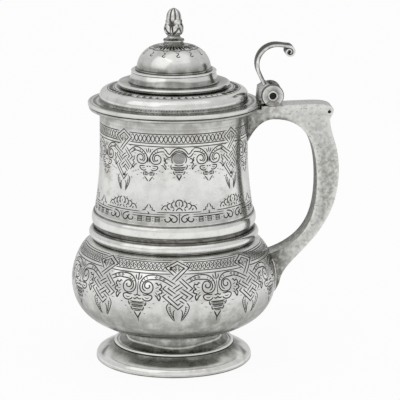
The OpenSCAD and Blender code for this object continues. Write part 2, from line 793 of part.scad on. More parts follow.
module outer_strip() {
    polygon(concat(outer_line, backwards(beside(outer_line, -handle_t))));
}

module handle_top_plate() {
    color([0.8, 0.8, 0.76])
        strap()
            intersection() {
                outer_strip();
                translate([0, notch_z])
                    square(2 * handle_reach);
            }
}

module handle_back_strap() {
    color([0.78, 0.79, 0.74])
        strap()
            intersection() {
                outer_strip();
                square([2 * handle_reach, notch_z]);
            }
}

bowl();
barrel();
lip_wire();
lower_waist_band();
upper_waist_band();
foot();
foot_rim_wire();
foot_bead_wire();
handle_near_side();
handle_far_side();
handle_inner_strap();
handle_back_strap();
handle_top_plate();
hinge_near_disc();
hinge_far_disc();
hinge_centre_knuckle();
hinge_pin();
lid_flange();
lid_edge_wire();
lid_bead_ring();
lid_bezel();
lid_drum();
lid_dome();
finial_collar();
finial_bud();
finial_stud();
finial_nut();
lid_lug();
thumbpiece();
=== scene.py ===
import math
import bpy
import numpy as np
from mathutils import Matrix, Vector
from mathutils.geometry import delaunay_2d_cdt


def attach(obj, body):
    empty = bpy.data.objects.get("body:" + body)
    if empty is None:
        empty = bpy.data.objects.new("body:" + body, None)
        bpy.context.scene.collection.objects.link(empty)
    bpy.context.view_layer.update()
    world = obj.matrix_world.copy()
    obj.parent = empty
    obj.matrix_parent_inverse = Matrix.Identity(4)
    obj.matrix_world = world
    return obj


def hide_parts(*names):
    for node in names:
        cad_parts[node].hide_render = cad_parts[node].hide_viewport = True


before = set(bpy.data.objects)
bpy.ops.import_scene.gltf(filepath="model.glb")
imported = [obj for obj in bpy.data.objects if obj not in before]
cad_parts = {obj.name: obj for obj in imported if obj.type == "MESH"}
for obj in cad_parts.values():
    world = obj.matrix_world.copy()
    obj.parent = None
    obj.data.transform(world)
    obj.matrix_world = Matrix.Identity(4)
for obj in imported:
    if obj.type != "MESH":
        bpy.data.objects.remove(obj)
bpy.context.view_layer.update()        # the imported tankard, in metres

mm = 0.001
print("frame loaded:", len(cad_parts), "nodes")


# drawing helpers, all in millimetres
def bez(a, b, c, d, cuts=12):
    line = []
    for i in range(cuts + 1):
        t = i / cuts
        s = 1 - t
        line.append(tuple(s ** 3 * a[k] + 3 * s * s * t * b[k] + 3 * s * t * t * c[k] + t ** 3 * d[k]
                          for k in (0, 1)))
    return line


def joined(*lines):
    out = []
    for line in lines:
        for p in line:
            if not out or math.dist(out[-1][:2], p[:2]) > 1e-5:
                out.append(tuple(p))
    return out


def softened(loop, cuts=3):        # a third number on a corner is its rounding radius
    out = []
    count = len(loop)
    for i, p in enumerate(loop):
        if len(p) < 3 or p[2] == 0:
            out.append(tuple(p[:2]))
            continue
        here = np.array(p[:2])
        back = np.array(loop[i - 1][:2]) - here
        on = np.array(loop[(i + 1) % count][:2]) - here
        lb, lo = np.linalg.norm(back), np.linalg.norm(on)
        back, on = back / lb, on / lo
        angle = math.acos(max(-1, min(1, float(back @ on))))
        reach = min(p[2] / math.tan(angle / 2), 0.48 * lb, 0.48 * lo)
        for k in range(cuts + 1):
            t = k / cuts
            out.append(tuple(here + back * reach * (1 - t) ** 2 + on * reach * t ** 2))
    return out


def curveThrough(points, cuts=6):        # smooth line through the given points
    p = [np.array(q, float) for q in points]
    p = [2 * p[0] - p[1]] + p + [2 * p[-1] - p[-2]]
    out = []
    for i in range(1, len(p) - 2):
        for k in range(cuts):
            t = k / cuts
            out.append(tuple(0.5 * (2 * p[i] + (p[i + 1] - p[i - 1]) * t
                                    + (2 * p[i - 1] - 5 * p[i] + 4 * p[i + 1] - p[i + 2]) * t * t
                                    + (3 * p[i] - p[i - 1] - 3 * p[i + 1] + p[i + 2]) * t ** 3)))
    out.append(tuple(p[-2]))
    return out


def ovalArc(cu, cv, ru, rv, a0, a1, cuts=12):
    return [(cu + ru * math.cos(math.radians(a0 + (a1 - a0) * i / cuts)),
             cv + rv * math.sin(math.radians(a0 + (a1 - a0) * i / cuts))) for i in range(cuts + 1)]


def lengths(p):        # length along a line at each of its points
    return np.concatenate([[0], np.cumsum(np.hypot(*np.diff(p, axis=0).T))])


def headings(p, run=None):        # unit direction of a line at each of its points
    t = np.gradient(p, axis=0) if run is None else np.gradient(p, run, axis=0)
    return t / np.hypot(t[:, 0], t[:, 1])[:, None]


def gapsTo(place, line):        # distance from every place to every point of a line
    return np.hypot(place[:, None, 0] - line[None, :, 0], place[:, None, 1] - line[None, :, 1])


def node(tree, kind, output, sockets, **settings):        # a socket takes a value or another node's output
    made = tree.nodes.new("ShaderNode" + kind)
    for name, value in settings.items():
        setattr(made, name, value)
    for name, value in sockets.items():
        if isinstance(value, bpy.types.NodeSocket):
            tree.links.new(value, made.inputs[name])
        else:
            made.inputs[name].default_value = value
    return made.outputs[output]


def ramp(tree, source, low, high, end=1.0, start=0.0):        # soft step from start to end
    return node(tree, "MapRange", "Result", {"Value": source, "From Min": low, "From Max": high,
                                             "To Min": start, "To Max": end}, interpolation_type="SMOOTHSTEP")


def sums(tree, op, a, b):
    return node(tree, "Math", "Value", {0: a, 1: b}, operation=op)


# what all the silver shares: colours (the tarnished one also gives painted shade), shares of the base colour,
# noise scales and bump
silverLook = dict(tarnishAndShade=(0.085, 0.081, 0.066), groove=(0.030, 0.027, 0.022),
                  dull=(0.72, 0.727, 0.735), stained=(0.56, 0.53, 0.46),
                  pricked=(0.42,) * 3, bright=(1.1,) * 3,
                  wash=24, streak=70, speck=700, grit=2600, scratchA=260, scratchB=240,
                  scratched=0.22, prickStep=0.11, bump=0.35, bumpDepth=0.0004)
finishLooks = {
    "silver_raised": dict(base=(0.82, 0.82, 0.80), edge=0.72, rough=0.12, mottle=0.38, stain=0.42,
                          dent=0.30, pit=0.10, grain=130, prick=0.60, pricks=0.65, streak=0.22),
    "silver_wire": dict(base=(0.83, 0.83, 0.81), edge=0.72, rough=0.10, mottle=0.26, stain=0.18,
                        dent=0.12, pit=0.08, grain=150, prick=0.55, pricks=0.66, streak=0.55),
    "silver_handle": dict(base=(0.76, 0.762, 0.735), edge=0.62, rough=0.23, mottle=0.52, stain=0.50,
                          dent=0.08, pit=0.20, grain=430, prick=0.80, pricks=0.59, streak=0.0),
    "silver_cast": dict(base=(0.80, 0.80, 0.785), edge=0.50, rough=0.16, mottle=0.72, stain=0.42,
                        dent=0.05, pit=0.16, grain=300, prick=0.80, pricks=0.59, streak=0.1),
    "silver_oxidised": dict(base=(0.035, 0.034, 0.032), edge=0.50, rough=0.50, mottle=0.50, stain=0.50,
                            dent=0.05, pit=0.25, grain=260, prick=0.55, pricks=0.66, streak=0.0),
}


def silverFinish(name, look):
    mat = bpy.data.materials.new("tankard_" + name)
    mat.use_nodes = True
    tree = mat.node_tree
    shader = tree.nodes["Principled BSDF"]
    shader.inputs["Metallic"].default_value = 1.0
    shader.inputs["Specular Tint"].default_value = (look["edge"],) * 3 + (1.0,)
    base = look["base"]
    place = node(tree, "TexCoord", "Object", {})
    shadeAndPatina, groove = (node(tree, "Attribute", "Fac", {}, attribute_name=layer)
                      for layer in ("shadeAndPatina", "groove"))

    def cloud(scale, detail, rough=0.55, stretch=None, turn=(0, 0, 0)):
        vector = place
        if stretch:
            vector = node(tree, "Mapping", "Vector", {"Vector": place, "Scale": stretch, "Rotation": turn})
        return node(tree, "TexNoise", "Fac", {"Vector": vector, "Scale": scale, "Detail": detail,
                                              "Roughness": rough})

    def added(total, source, share):
        return sums(tree, "ADD", total, sums(tree, "MULTIPLY", source, share))

    def blend(amount, a, b):
        a, b = (c + (1.0,) if isinstance(c, tuple) else c for c in (a, b))
        return node(tree, "Mix", 2, {"Factor": amount, 6: a, 7: b}, data_type="RGBA")

    def tint(key):
        return tuple(min(1, c * k) for c, k in zip(base, silverLook[key]))

    wash = cloud(silverLook["wash"], 3)
    blotch = cloud(look["grain"], 6, 0.62)
    streak = cloud(silverLook["streak"], 4, 0.6, (1, 1, 7))
    speck = cloud(silverLook["speck"], 3)
    grit = cloud(silverLook["grit"], 2)
    scratchA = cloud(silverLook["scratchA"], 2, 0.4, (1, 1, 34), (0.35, 0.2, 0.3))
    scratchB = cloud(silverLook["scratchB"], 2, 0.4, (28, 1, 1), (0.3, 0.75, 1.1))
    scratch = sums(tree, "MAXIMUM", ramp(tree, scratchA, 0.70, 0.78), ramp(tree, scratchB, 0.70, 0.78))

    colour = blend(ramp(tree, blotch, 0.40, 0.66, look["mottle"]), base, tint("dull"))
    colour = blend(ramp(tree, sums(tree, "MULTIPLY", wash, blotch), 0.27, 0.40, look["stain"]), colour,
                   tint("stained"))
    pricks = ramp(tree, speck, look["pricks"], look["pricks"] + silverLook["prickStep"], look["prick"])
    colour = blend(pricks, colour, tint("pricked"))
    colour = blend(sums(tree, "MULTIPLY", scratch, silverLook["scratched"]), colour, tint("bright"))
    # painted shade and tarnish follow the shade layer, broken up by wear until they are nearly solid
    wearAndSheen = added(sums(tree, "MULTIPLY", blotch, 1 - look["streak"]), streak, look["streak"])
    solid = sums(tree, "POWER", shadeAndPatina, 3.0)
    shade = sums(tree, "MULTIPLY", shadeAndPatina, sums(tree, "MAXIMUM", ramp(tree, wearAndSheen, 0.12, 0.58), solid))
    colour = blend(shade, colour, silverLook["tarnishAndShade"])
    colour = blend(ramp(tree, groove, 0.02, 0.42, 0.97), colour, silverLook["groove"])
    tree.links.new(colour, shader.inputs["Base Color"])

    rough = look["rough"]
    for source, share in ((blotch, 0.08), (scratch, 0.08), (shadeAndPatina, 0.12), (groove, 0.25)):
        rough = added(rough, source, share)
    tree.links.new(rough, shader.inputs["Roughness"])

    relief = sums(tree, "MULTIPLY", wash, look["dent"] * 10)
    for source, share in ((speck, look["pit"]), (grit, look["pit"] * 0.25), (scratch, -0.05)):
        relief = added(relief, source, share)
    normal = node(tree, "Bump", "Normal", {"Height": relief, "Strength": silverLook["bump"],
                                           "Distance": silverLook["bumpDepth"]})
    tree.links.new(normal, shader.inputs["Normal"])
    return mat


finishes = {name: silverFinish(name, look) for name, look in finishLooks.items()}
print("finishes made:", len(finishes))


# pieces drawn, spun and cut by operators; weld holds the merging distances in metres
weld = dict(line=0.000001, spin=0.000002, skin=0.000006)
turnSteps = 168        # facets round a turned piece
smallSteps = 96        # and round the finial


def pickOnly(piece):
    bpy.ops.object.select_all(action="DESELECT")
    piece.select_set(True)
    bpy.context.view_layer.objects.active = piece


def joinOnto(piece, other):
    pickOnly(piece)
    other.select_set(True)
    bpy.ops.object.join()


def smoothBy(piece, degrees=32):
    pickOnly(piece)
    bpy.ops.object.shade_smooth_by_angle(angle=math.radians(degrees))


def closeUp(piece, merge=0.0, degrees=32):        # leaves edit mode with points welded and faces outward
    bpy.ops.mesh.select_all(action="SELECT")
    if merge:
        bpy.ops.mesh.remove_doubles(threshold=merge)
    bpy.ops.mesh.normals_make_consistent(inside=False)
    bpy.ops.object.mode_set(mode="OBJECT")
    smoothBy(piece, degrees)


def meshPiece(name, verts, faces):
    mesh = bpy.data.meshes.new(name)
    mesh.from_pydata(verts, [], faces)
    piece = bpy.data.objects.new(name, mesh)
    bpy.context.scene.collection.objects.link(piece)
    return piece


def startPoint(name, place):        # a small plane merged to the first point of a line
    bpy.ops.object.select_all(action="DESELECT")
    bpy.ops.mesh.primitive_plane_add(size=0.002, location=(0, 0, 0))
    piece = bpy.context.object
    piece.name = name
    piece.data.name = name
    bpy.ops.object.mode_set(mode="EDIT")
    bpy.ops.mesh.select_all(action="SELECT")
    bpy.ops.mesh.merge(type="CENTER")
    bpy.ops.transform.translate(value=tuple(c * mm for c in place))
    return piece


def drawOn(places):        # extrudes the point along a line
    for a, b in zip(places, places[1:]):
        step = tuple((b[k] - a[k]) * mm for k in range(3))
        bpy.ops.mesh.extrude_vertices_move(TRANSFORM_OT_translate={"value": step})


def drawLoop(name, places):        # a closed outline, left selected in edit mode
    piece = startPoint(name, places[0])
    drawOn(places + places[:1])
    bpy.ops.mesh.select_all(action="SELECT")
    bpy.ops.mesh.remove_doubles(threshold=weld["line"])
    return piece


def spunPiece(name, loop, steps, axis="z", middle=(0, 0, 0)):
    if axis == "z":
        places = [(p[0], 0, p[1]) for p in loop]
        turn = (0, 0, 1)
    else:
        places = [(middle[0] + p[0], p[1], middle[2]) for p in loop]
        turn = (0, 1, 0)
    piece = drawLoop(name, places)
    bpy.ops.mesh.spin(steps=steps, angle=2 * math.pi, center=tuple(c * mm for c in middle), axis=turn)
    closeUp(piece, weld["spin"])
    return piece


def slabPiece(name, outline, y0, y1, bevel, cuts=3):        # a flat outline given thickness and soft edges
    piece = drawLoop(name, [(p[0], y0, p[1]) for p in outline])
    bpy.ops.mesh.edge_face_add()
    bpy.ops.mesh.extrude_region_move(TRANSFORM_OT_translate={"value": (0, (y1 - y0) * mm, 0)})
    bpy.ops.mesh.select_all(action="SELECT")
    bpy.ops.mesh.normals_make_consistent(inside=False)
    bpy.ops.mesh.select_all(action="DESELECT")
    bpy.ops.object.mode_set(mode="OBJECT")
    bpy.context.tool_settings.mesh_select_mode = (False, True, False)
    mesh = piece.data
    for edge in mesh.edges:
        a, b = (mesh.vertices[i].co.y for i in edge.vertices)
        edge.select = abs(a - b) < 1e-6
    bpy.ops.object.mode_set(mode="EDIT")
    bpy.ops.mesh.bevel(offset=bevel * mm, segments=cuts, profile=0.55, clamp_overlap=False)
    bpy.ops.object.mode_set(mode="OBJECT")
    bpy.context.tool_settings.mesh_select_mode = (True, False, False)
    smoothBy(piece)
    return piece


def boreOut(piece, cutter):        # takes one shape out of another
    pickOnly(piece)
    cut = piece.modifiers.new("bore", "BOOLEAN")
    cut.object = cutter
    cut.operation = "DIFFERENCE"
    bpy.ops.object.modifier_apply(modifier="bore")
    bpy.data.objects.remove(cutter)
    smoothBy(piece)


def drill(piece, place, radius, depth, sides):        # a round hole along y
    bpy.ops.object.select_all(action="DESELECT")
    bpy.ops.mesh.primitive_cylinder_add(vertices=sides, radius=radius * mm, depth=depth * mm,
                                        location=tuple(c * mm for c in place),
                                        rotation=(math.radians(90), 0, 0))
    boreOut(piece, bpy.context.object)


def addRows(piece, *sets):        # rows of points for the tarnish, where planes across an axis cut the faces
    bpy.ops.object.mode_set(mode="EDIT")
    for axis, stations in sets:
        for station in stations:
            bpy.ops.mesh.select_all(action="SELECT")
            bpy.ops.mesh.bisect(plane_co=tuple(c * station * mm for c in axis), plane_no=axis)
    bpy.ops.object.mode_set(mode="OBJECT")
    smoothBy(piece)


def fetched(data, name, width=1, kind=np.float32):        # one property of every item, as an array
    out = np.empty(len(data) * width, kind)
    data.foreach_get(name, out)
    return out.reshape(-1, width) if width > 1 else out


def pointPlaces(piece):        # r, z, x and y of every point
    x, y, z = (fetched(piece.data.vertices, "co", 3) / mm).T
    return np.hypot(x, y), z, x, y


def readLayer(piece, name):
    return fetched(piece.data.attributes[name].data, "value")


def paintLayer(piece, name, values):
    layer = piece.data.attributes.get(name) or piece.data.attributes.new(name, "FLOAT", "POINT")
    layer.data.foreach_set("value", np.clip(values, 0, 1).astype(np.float32))


def paintShadeAndTarnish(piece, amount):        # amount(r, z, x, y) gives how dark the silver is painted, for tarnish and for painted shade
    paintLayer(piece, "shadeAndPatina", amount(*pointPlaces(piece)))


def darken(piece, amount):        # adds to the painted shade and tarnish a piece already has
    paintLayer(piece, "shadeAndPatina", np.maximum(readLayer(piece, "shadeAndPatina"), amount(*pointPlaces(piece))))


def byHeight(rows, shades):        # painted shade and tarnish that change with height alone
    return lambda r, z, x, y: np.interp(z, rows, shades)


def brightCuts(piece, inside):        # where inside(r, z, x, y) holds, cuts are left bare and bright while the ground keeps its painted dark reflection
    cut, shadeAndPatina = readLayer(piece, "groove"), readLayer(piece, "shadeAndPatina")
    here = inside(*pointPlaces(piece))
    paintLayer(piece, "shadeAndPatina", np.where(here & (cut > 0.15), 0.0, shadeAndPatina))
    paintLayer(piece, "groove", np.where(here, 0.0, cut))


def dress(piece, body, slot, *names):
    piece.data.materials.clear()
    piece.data.materials.append(finishes[slot])
    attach(piece, body)
    if names:
        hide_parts(*names)


def turnedPiece(name, loop, steps, amount, body, slot, cadName):        # spun, given painted shade and tarnish, and dressed
    piece = spunPiece(name, joined(loop), steps)
    paintShadeAndTarnish(piece, amount)
    dress(piece, body, slot, cadName)


def keepNode(name, slot):        # a CAD shape that is right keeps its mesh and gets the finish
    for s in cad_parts[name].material_slots:
        s.material = finishes[slot]


# engraving: strokes on an unrolled sector, cut into the skin as V grooves
cutLook = dict(spread=1.18, depth=0.15, inner=0.12)        # widening, full depth, tarnish of the uncut inside


def stroke(points, width=0.31, tip=0.9, depth=cutLook["depth"]):
    return (np.array(points, float), width * cutLook["spread"], tip, depth)


def placedStrokes(strokes, du=0.0, dv=0.0, su=1.0, sv=1.0):
    return [(s[0] * (su, sv) + (du, dv),) + s[1:] for s in strokes]


def bothSides(strokes):
    return strokes + placedStrokes(strokes, su=-1)


def dotMark(u, v, size=0.33):
    return stroke([(u - size * 1.25, v), (u + size * 1.25, v)], size, size)


def dots(*places):
    return [dotMark(*place) for place in places]


def partsWhere(points, keep, step=0.3):        # the stretches of a line where keep(u, v) holds
    out, run = [], []
    for a, b in zip(points, points[1:]):
        n = max(1, math.ceil(math.dist(a, b) / step))
        for k in range(n):
            q = (a[0] + (b[0] - a[0]) * k / n, a[1] + (b[1] - a[1]) * k / n)
            if keep(*q):
                run.append(q)
            else:
                if len(run) > 2:
                    out.append(run)
                run = []
    if keep(*points[-1]):
        run.append(tuple(points[-1]))
    if len(run) > 2:
        out.append(run)
    return out


def thinned(points, off=0.025, longest=2.2):        # drops points that a straight line passes anyway
    p = np.array(points, float)
    keep = [0, len(p) - 1]
    todo = [(0, len(p) - 1)]
    while todo:
        a, b = todo.pop()
        if b - a < 2:
            continue
        d = p[b] - p[a]
        size = np.hypot(*d)
        rel = p[a + 1:b] - p[a]
        far = np.hypot(rel[:, 0], rel[:, 1])
        if size > 1e-6:
            far = np.abs(rel[:, 0] * d[1] - rel[:, 1] * d[0]) / size
        k = int(np.argmax(far))
        if far[k] > off:
            keep.append(a + 1 + k)
            todo += [(a, a + 1 + k), (a + 1 + k, b)]
    p = p[sorted(keep)]
    out = [p[0]]
    for a, b in zip(p, p[1:]):
        n = max(1, math.ceil(np.hypot(*(b - a)) / longest))
        out += [a + (b - a) * k / n for k in range(1, n + 1)]
    return np.array(out)


def wovenStraps(straps, weave):        # edge lines of straps that pass over and under each other
    walks = []
    for points, halves in straps:
        p = np.array(points, float)
        place, half, run, corner = [], [], [], []
        s = 0.0
        for i in range(len(p) - 1):
            d = p[i + 1] - p[i]
            size = np.hypot(*d)
            n = max(1, math.ceil(size / 0.3))
            sharp = False
            if i:
                e = p[i] - p[i - 1]
                sharp = (d @ e) / size / np.hypot(*e) < 0.9
            for k in range(n):
                t = k / n
                place.append(p[i] + d * t)
                half.append(halves[i] * (1 - t) + halves[i + 1] * t)
                run.append(s + size * t)
                corner.append(sharp and k == 0)
            s += size
        place.append(p[-1])
        half.append(halves[-1])
        run.append(s)
        corner.append(False)
        walks.append((np.array(place), np.array(half), np.array(run), np.array(corner)))
    crossings = []
    for a, wa in enumerate(walks):
        for b, wb in enumerate(walks[a:], a):
            da, db = np.diff(wa[0], axis=0), np.diff(wb[0], axis=0)
            rel = wb[0][None, :-1] - wa[0][:-1, None]
            cross = da[:, None, 0] * db[None, :, 1] - da[:, None, 1] * db[None, :, 0]
            cross = np.where(np.abs(cross) < 1e-9, 1e-9, cross)
            ta = (rel[..., 0] * db[None, :, 1] - rel[..., 1] * db[None, :, 0]) / cross
            tb = (rel[..., 0] * da[:, None, 1] - rel[..., 1] * da[:, None, 0]) / cross
            hit = (ta >= 0) & (ta < 1) & (tb >= 0) & (tb < 1) & (np.abs(cross) > 1e-4)
            for i, j in zip(*np.nonzero(hit)):
                if a == b and wb[2][j] - wa[2][i] < 2.5:
                    continue
                crossings.append((a, i, b, j, wa[0][i] + da[i] * ta[i, j], da[i], db[j]))
    hidden = [np.zeros((2, len(w[0])), bool) for w in walks]
    edges = []
    for place, half, run, corner in walks:
        t = headings(place)
        mitre = np.ones(len(place))
        for i in np.nonzero(corner)[0]:
            e, d = place[i] - place[i - 1], place[i + 1] - place[i]
            e, d = e / np.hypot(*e), d / np.hypot(*d)
            t[i] = (e + d) / np.hypot(*(e + d))
            mitre[i] = 1 / max(0.5, float(t[i] @ d))
        side = np.stack([-t[:, 1], t[:, 0]], 1) * (half * mitre)[:, None]
        edges.append((place + side, place - side))
    for a, i, b, j, spot, da, db in crossings:
        overA = (da[0] * da[1] < 0) == weave(*spot)
        under, k, over, m, line = (b, j, a, i, da) if overA else (a, i, b, j, db)
        line = line / np.hypot(*line)
        reach = walks[over][1][m] + 0.02
        near = np.abs(walks[under][2] - walks[under][2][k]) < 3.4
        for side in (0, 1):
            rel = edges[under][side] - spot
            far = np.abs(rel[:, 0] * line[1] - rel[:, 1] * line[0])
            hidden[under][side] |= near & (far < reach)
    lines = []
    for (place, half, run, corner), sides, hide in zip(walks, edges, hidden):
        bend = run[corner]
        gap = np.abs(run[:, None] - bend[None, :]).min(1) if len(bend) else np.full(len(run), 9.0)
        show = corner | (gap > half)
        for side in (0, 1):
            part = []
            for i in range(len(place)):
                if hide[side][i]:
                    if len(part) > 1:
                        lines.append(part)
                    part = []
                elif show[i]:
                    part.append(tuple(sides[side][i]))
            if len(part) > 1:
                lines.append(part)
    return lines


def offsetLines(points, width, tip, edge):        # middle and both sides of a stroke, and its half width
    p = thinned(points)
    run = lengths(p)
    closed = np.hypot(*(p[0] - p[-1])) < 1e-4
    half = np.full(len(p), float(width))
    if not closed:
        tip = min(max(tip, width * 1.05), run[-1] * 0.4)
        if len(p) < 4:
            cuts = np.unique(np.concatenate([run, [tip, run[-1] - tip]]))
            p = np.stack([np.interp(cuts, run, p[:, 0]), np.interp(cuts, run, p[:, 1])], 1)
            run = cuts
        # a line that runs on into the next sector stays open
        start = run if abs(p[0][0]) < edge - 1e-3 else run + 9
        end = run[-1] - run if abs(p[-1][0]) < edge - 1e-3 else run + 9
        half = width * np.clip(np.minimum(start, end) / tip, 0, 1)
    d = np.diff(p, axis=0)
    d /= np.hypot(d[:, 0], d[:, 1])[:, None]
    back = np.vstack([d[-1:] if closed else d[:1], d])
    on = np.vstack([d, d[:1] if closed else d[-1:]])
    t = back + on
    t /= np.maximum(np.hypot(t[:, 0], t[:, 1]), 1e-9)[:, None]
    mitre = 1 / np.clip((t * on).sum(1), 0.6, 1)
    side = np.stack([-t[:, 1], t[:, 0]], 1) * (half * mitre)[:, None]
    return p, p + side, p - side, half


def clippedTo(a, b, box):        # the part of a segment inside the sector, or nothing
    t0, t1 = 0.0, 1.0
    d = b - a
    for k in (0, 1):
        for sign, limit in ((-1, -box[k][0]), (1, box[k][1])):
            p = sign * d[k]
            q = limit - sign * a[k]
            if abs(p) < 1e-12:
                if q < -1e-9:
                    return None
            elif p < 0:
                t0 = max(t0, q / p)
            else:
                t1 = min(t1, q / p)
    if t1 - t0 < 1e-6:
        return None
    return a + d * t0, a + d * t1


def cutSector(strokes, box, across, down, grid):
    (u0, u1), (v0, v1) = box
    index, points, edges = {}, [], []

    def at(q):
        key = (round(float(q[0]), 3), round(float(q[1]), 3))
        if key not in index:
            index[key] = len(points)
            points.append(key)
        return index[key]

    def edge(a, b):
        i, j = at(a), at(b)
        if i != j:
            edges.append((i, j))

    us = [u0 + (u1 - u0) * i / across for i in range(across + 1)]
    vs = [v0 + (v1 - v0) * i / down for i in range(down + 1)]
    for a, b in zip(us, us[1:]):
        edge((a, v0), (b, v0))
        edge((a, v1), (b, v1))
    for a, b in zip(vs, vs[1:]):
        edge((u0, a), (u0, b))
        edge((u1, a), (u1, b))
    segA, segB, half0, half1, full, deep = [], [], [], [], [], []
    for pts, width, tip, depth in strokes:
        mid, left, right, half = offsetLines(pts, width, tip, u1)
        for i in range(len(mid) - 1):
            for line in (mid, left, right):
                part = clippedTo(line[i], line[i + 1], box)
                if part is not None:
                    edge(*part)
            segA.append(mid[i])
            segB.append(mid[i + 1])
            half0.append(half[i])
            half1.append(half[i + 1])
            full.append(width)
            deep.append(depth)
    segA, segB = np.array(segA), np.array(segB)
    half0, half1, full, deep = (np.array(x) for x in (half0, half1, full, deep))
    d = segB - segA
    dd = np.maximum((d * d).sum(1), 1e-12)

    def depthAt(q, clear=0.0):
        out = np.zeros(len(q))
        for k in range(0, len(q), 400):
            part = q[k:k + 400]
            rel = part[:, None] - segA[None]
            t = np.clip((rel * d[None]).sum(2) / dd, 0, 1)
            gap = np.sqrt(((rel - d[None] * t[..., None]) ** 2).sum(2))
            half = np.maximum(half0 + (half1 - half0) * t, 1e-4) + clear
            out[k:k + 400] = (deep * half / full * np.clip(1 - gap / half, 0, 1)).max(1)
        return out

    free = []
    row = 0
    v = v0 + grid * 0.6
    while v < v1 - grid * 0.4:
        u = u0 + grid * (0.5 if row % 2 else 0.95)
        while u < u1 - grid * 0.4:
            free.append((u, v))
            u += grid
        row += 1
        v += grid * 0.87
    free = np.array(free)
    for q in free[depthAt(free, 0.5) <= 0]:
        at(q)
    result = delaunay_2d_cdt([Vector(p) for p in points], edges, [], 0, 1e-4)
    flat = np.array([tuple(q) for q in result[0]])
    return flat, result[2], depthAt(flat)


def engravedPiece(name, skin, drawing, look, rest, skinShade=None):
    # drawing(span) gives the strokes of one copy, look its repeats and mesh steps,
    # and rest is the part of the profile that stays uncut
    skin = np.array(skin, float)
    run = lengths(skin)
    copies, across, reach = look["copies"], look["across"], look["reach"]
    middle = math.radians(look["front"])
    span = 2 * math.pi * reach / copies
    strokes = drawing(span)
    flat, tris, depth = cutSector(strokes, ((-span / 2, span / 2), (0, run[-1])), across, look["down"],
                                  look["grid"])
    t = headings(skin, run)
    r, z, nr, nz = (np.interp(flat[:, 1], run, x) for x in (skin[:, 0], skin[:, 1], -t[:, 1], t[:, 0]))
    size = np.hypot(nr, nz)
    nr, nz = nr / size, nz / size
    rr, zz = r - depth * nr, z - depth * nz
    # painted shade on the engraved skin, from the given function
    skinShadeValues = skinShade(flat[:, 0], flat[:, 1]) if skinShade else np.zeros(len(flat))
    verts, faces, normals, cuts, shadeAndPatina = [], [], [], [], []
    for k in range(copies):
        a = middle + flat[:, 0] / reach + 2 * math.pi * k / copies
        c, s = np.cos(a), np.sin(a)
        faces += [tuple(i + k * len(flat) for i in f) for f in tris]
        verts.append(np.stack([rr * c, rr * s, zz], 1))
        normals.append(np.stack([nr * c, nr * s, nz], 1))
        cuts.append(depth / cutLook["depth"])
        shadeAndPatina.append(skinShadeValues)
    first = copies * len(flat)
    steps = copies * across
    ring = middle - span / 2 / reach + np.arange(steps) * 2 * math.pi / steps
    loop = [tuple(skin[-1])] + [tuple(p[:2]) for p in rest] + [tuple(skin[0])]
    for i, (pr, pz) in enumerate(loop):
        verts.append(np.stack([pr * np.cos(ring), pr * np.sin(ring), np.full(steps, pz)], 1))
        normals.append(np.zeros((steps, 3)))
        cuts.append(np.zeros(steps))
        shade = cutLook["inner"]
        if i in (0, len(loop) - 1):
            shade = float(skinShade(0.0, 0.0 if i else run[-1])) if skinShade else 0.0
        shadeAndPatina.append(np.full(steps, shade))
        if i:
            a, b = first + (i - 1) * steps, first + i * steps
            faces += [(a + j, a + (j + 1) % steps, b + (j + 1) % steps, b + j) for j in range(steps)]
    piece = meshPiece(name, (np.vstack(verts) * mm).tolist(), faces)
    paintLayer(piece, "groove", np.concatenate(cuts))
    paintLayer(piece, "shadeAndPatina", np.concatenate(shadeAndPatina))
    layer = piece.data.attributes.new("skinNormal", "FLOAT_VECTOR", "POINT")
    layer.data.foreach_set("vector", np.vstack(normals).astype(np.float32).ravel())
    pickOnly(piece)
    bpy.ops.object.mode_set(mode="EDIT")
    closeUp(piece, weld["skin"], 35)
    settleNormals(piece)
    print(name, "engraved:", len(strokes), "strokes,", len(piece.data.polygons), "faces")
    return piece


def settleNormals(piece):        # true skin normals between the grooves, flat ones inside them
    mesh = piece.data
    skin = fetched(mesh.attributes["skinNormal"].data, "vector", 3)
    cut = readLayer(piece, "groove")
    corner = fetched(mesh.loops, "vertex_index", 1, np.int32)
    total = fetched(mesh.polygons, "loop_total", 1, np.int32)
    flat = fetched(mesh.polygons, "normal", 3)
    owner = np.repeat(np.arange(len(total)), total)
    deep = np.zeros(len(total))
    np.maximum.at(deep, owner, cut[corner])
    bare = np.zeros(len(total), bool)
    np.logical_or.at(bare, owner, np.abs(skin[corner]).sum(1) < 0.5)
    normals = skin[corner].copy()
    inGroove = (deep > 0.05)[owner]
    normals[inGroove] = flat[owner[inGroove]]
    normals[bare[owner]] = 0
    size = np.linalg.norm(normals, axis=1)
    normals = np.where(size[:, None] > 0.1, normals / np.maximum(size, 1e-6)[:, None], 0)
    mesh.normals_split_custom_set(normals.tolist())
    mesh.attributes.remove(mesh.attributes["skinNormal"])


# the strapwork: interlaced knot, scrolls, pendant and leaves
def strapKnot(k):        # k holds the rows of the knot, measured down the wall
    side, half, arch = k["side"], k["half"], k["arch"]
    lace = [(-k["endU"], k["end"]), (0, k["axisLow"]), k["low"], (0, k["mid"]), (-side[0], side[1]),
            (0, k["top"])]
    lace = lace + [(-u, v) for u, v in lace[-2::-1]]
    run = arch + [(0, k["axisMid"]), k["last"], (0, k["foot"])]
    run = run + [(-u, v) for u, v in run[-2::-1]]
    wide = list(np.linspace(k["archHalf"], half, len(arch))) + [half] * 3
    wide = wide + wide[-2::-1]
    lines = wovenStraps([(lace, [half] * len(lace)), (run, wide)], lambda u, v: abs(u) < 0.8)
    return [stroke(line, k["line"], 0.5) for line in lines]


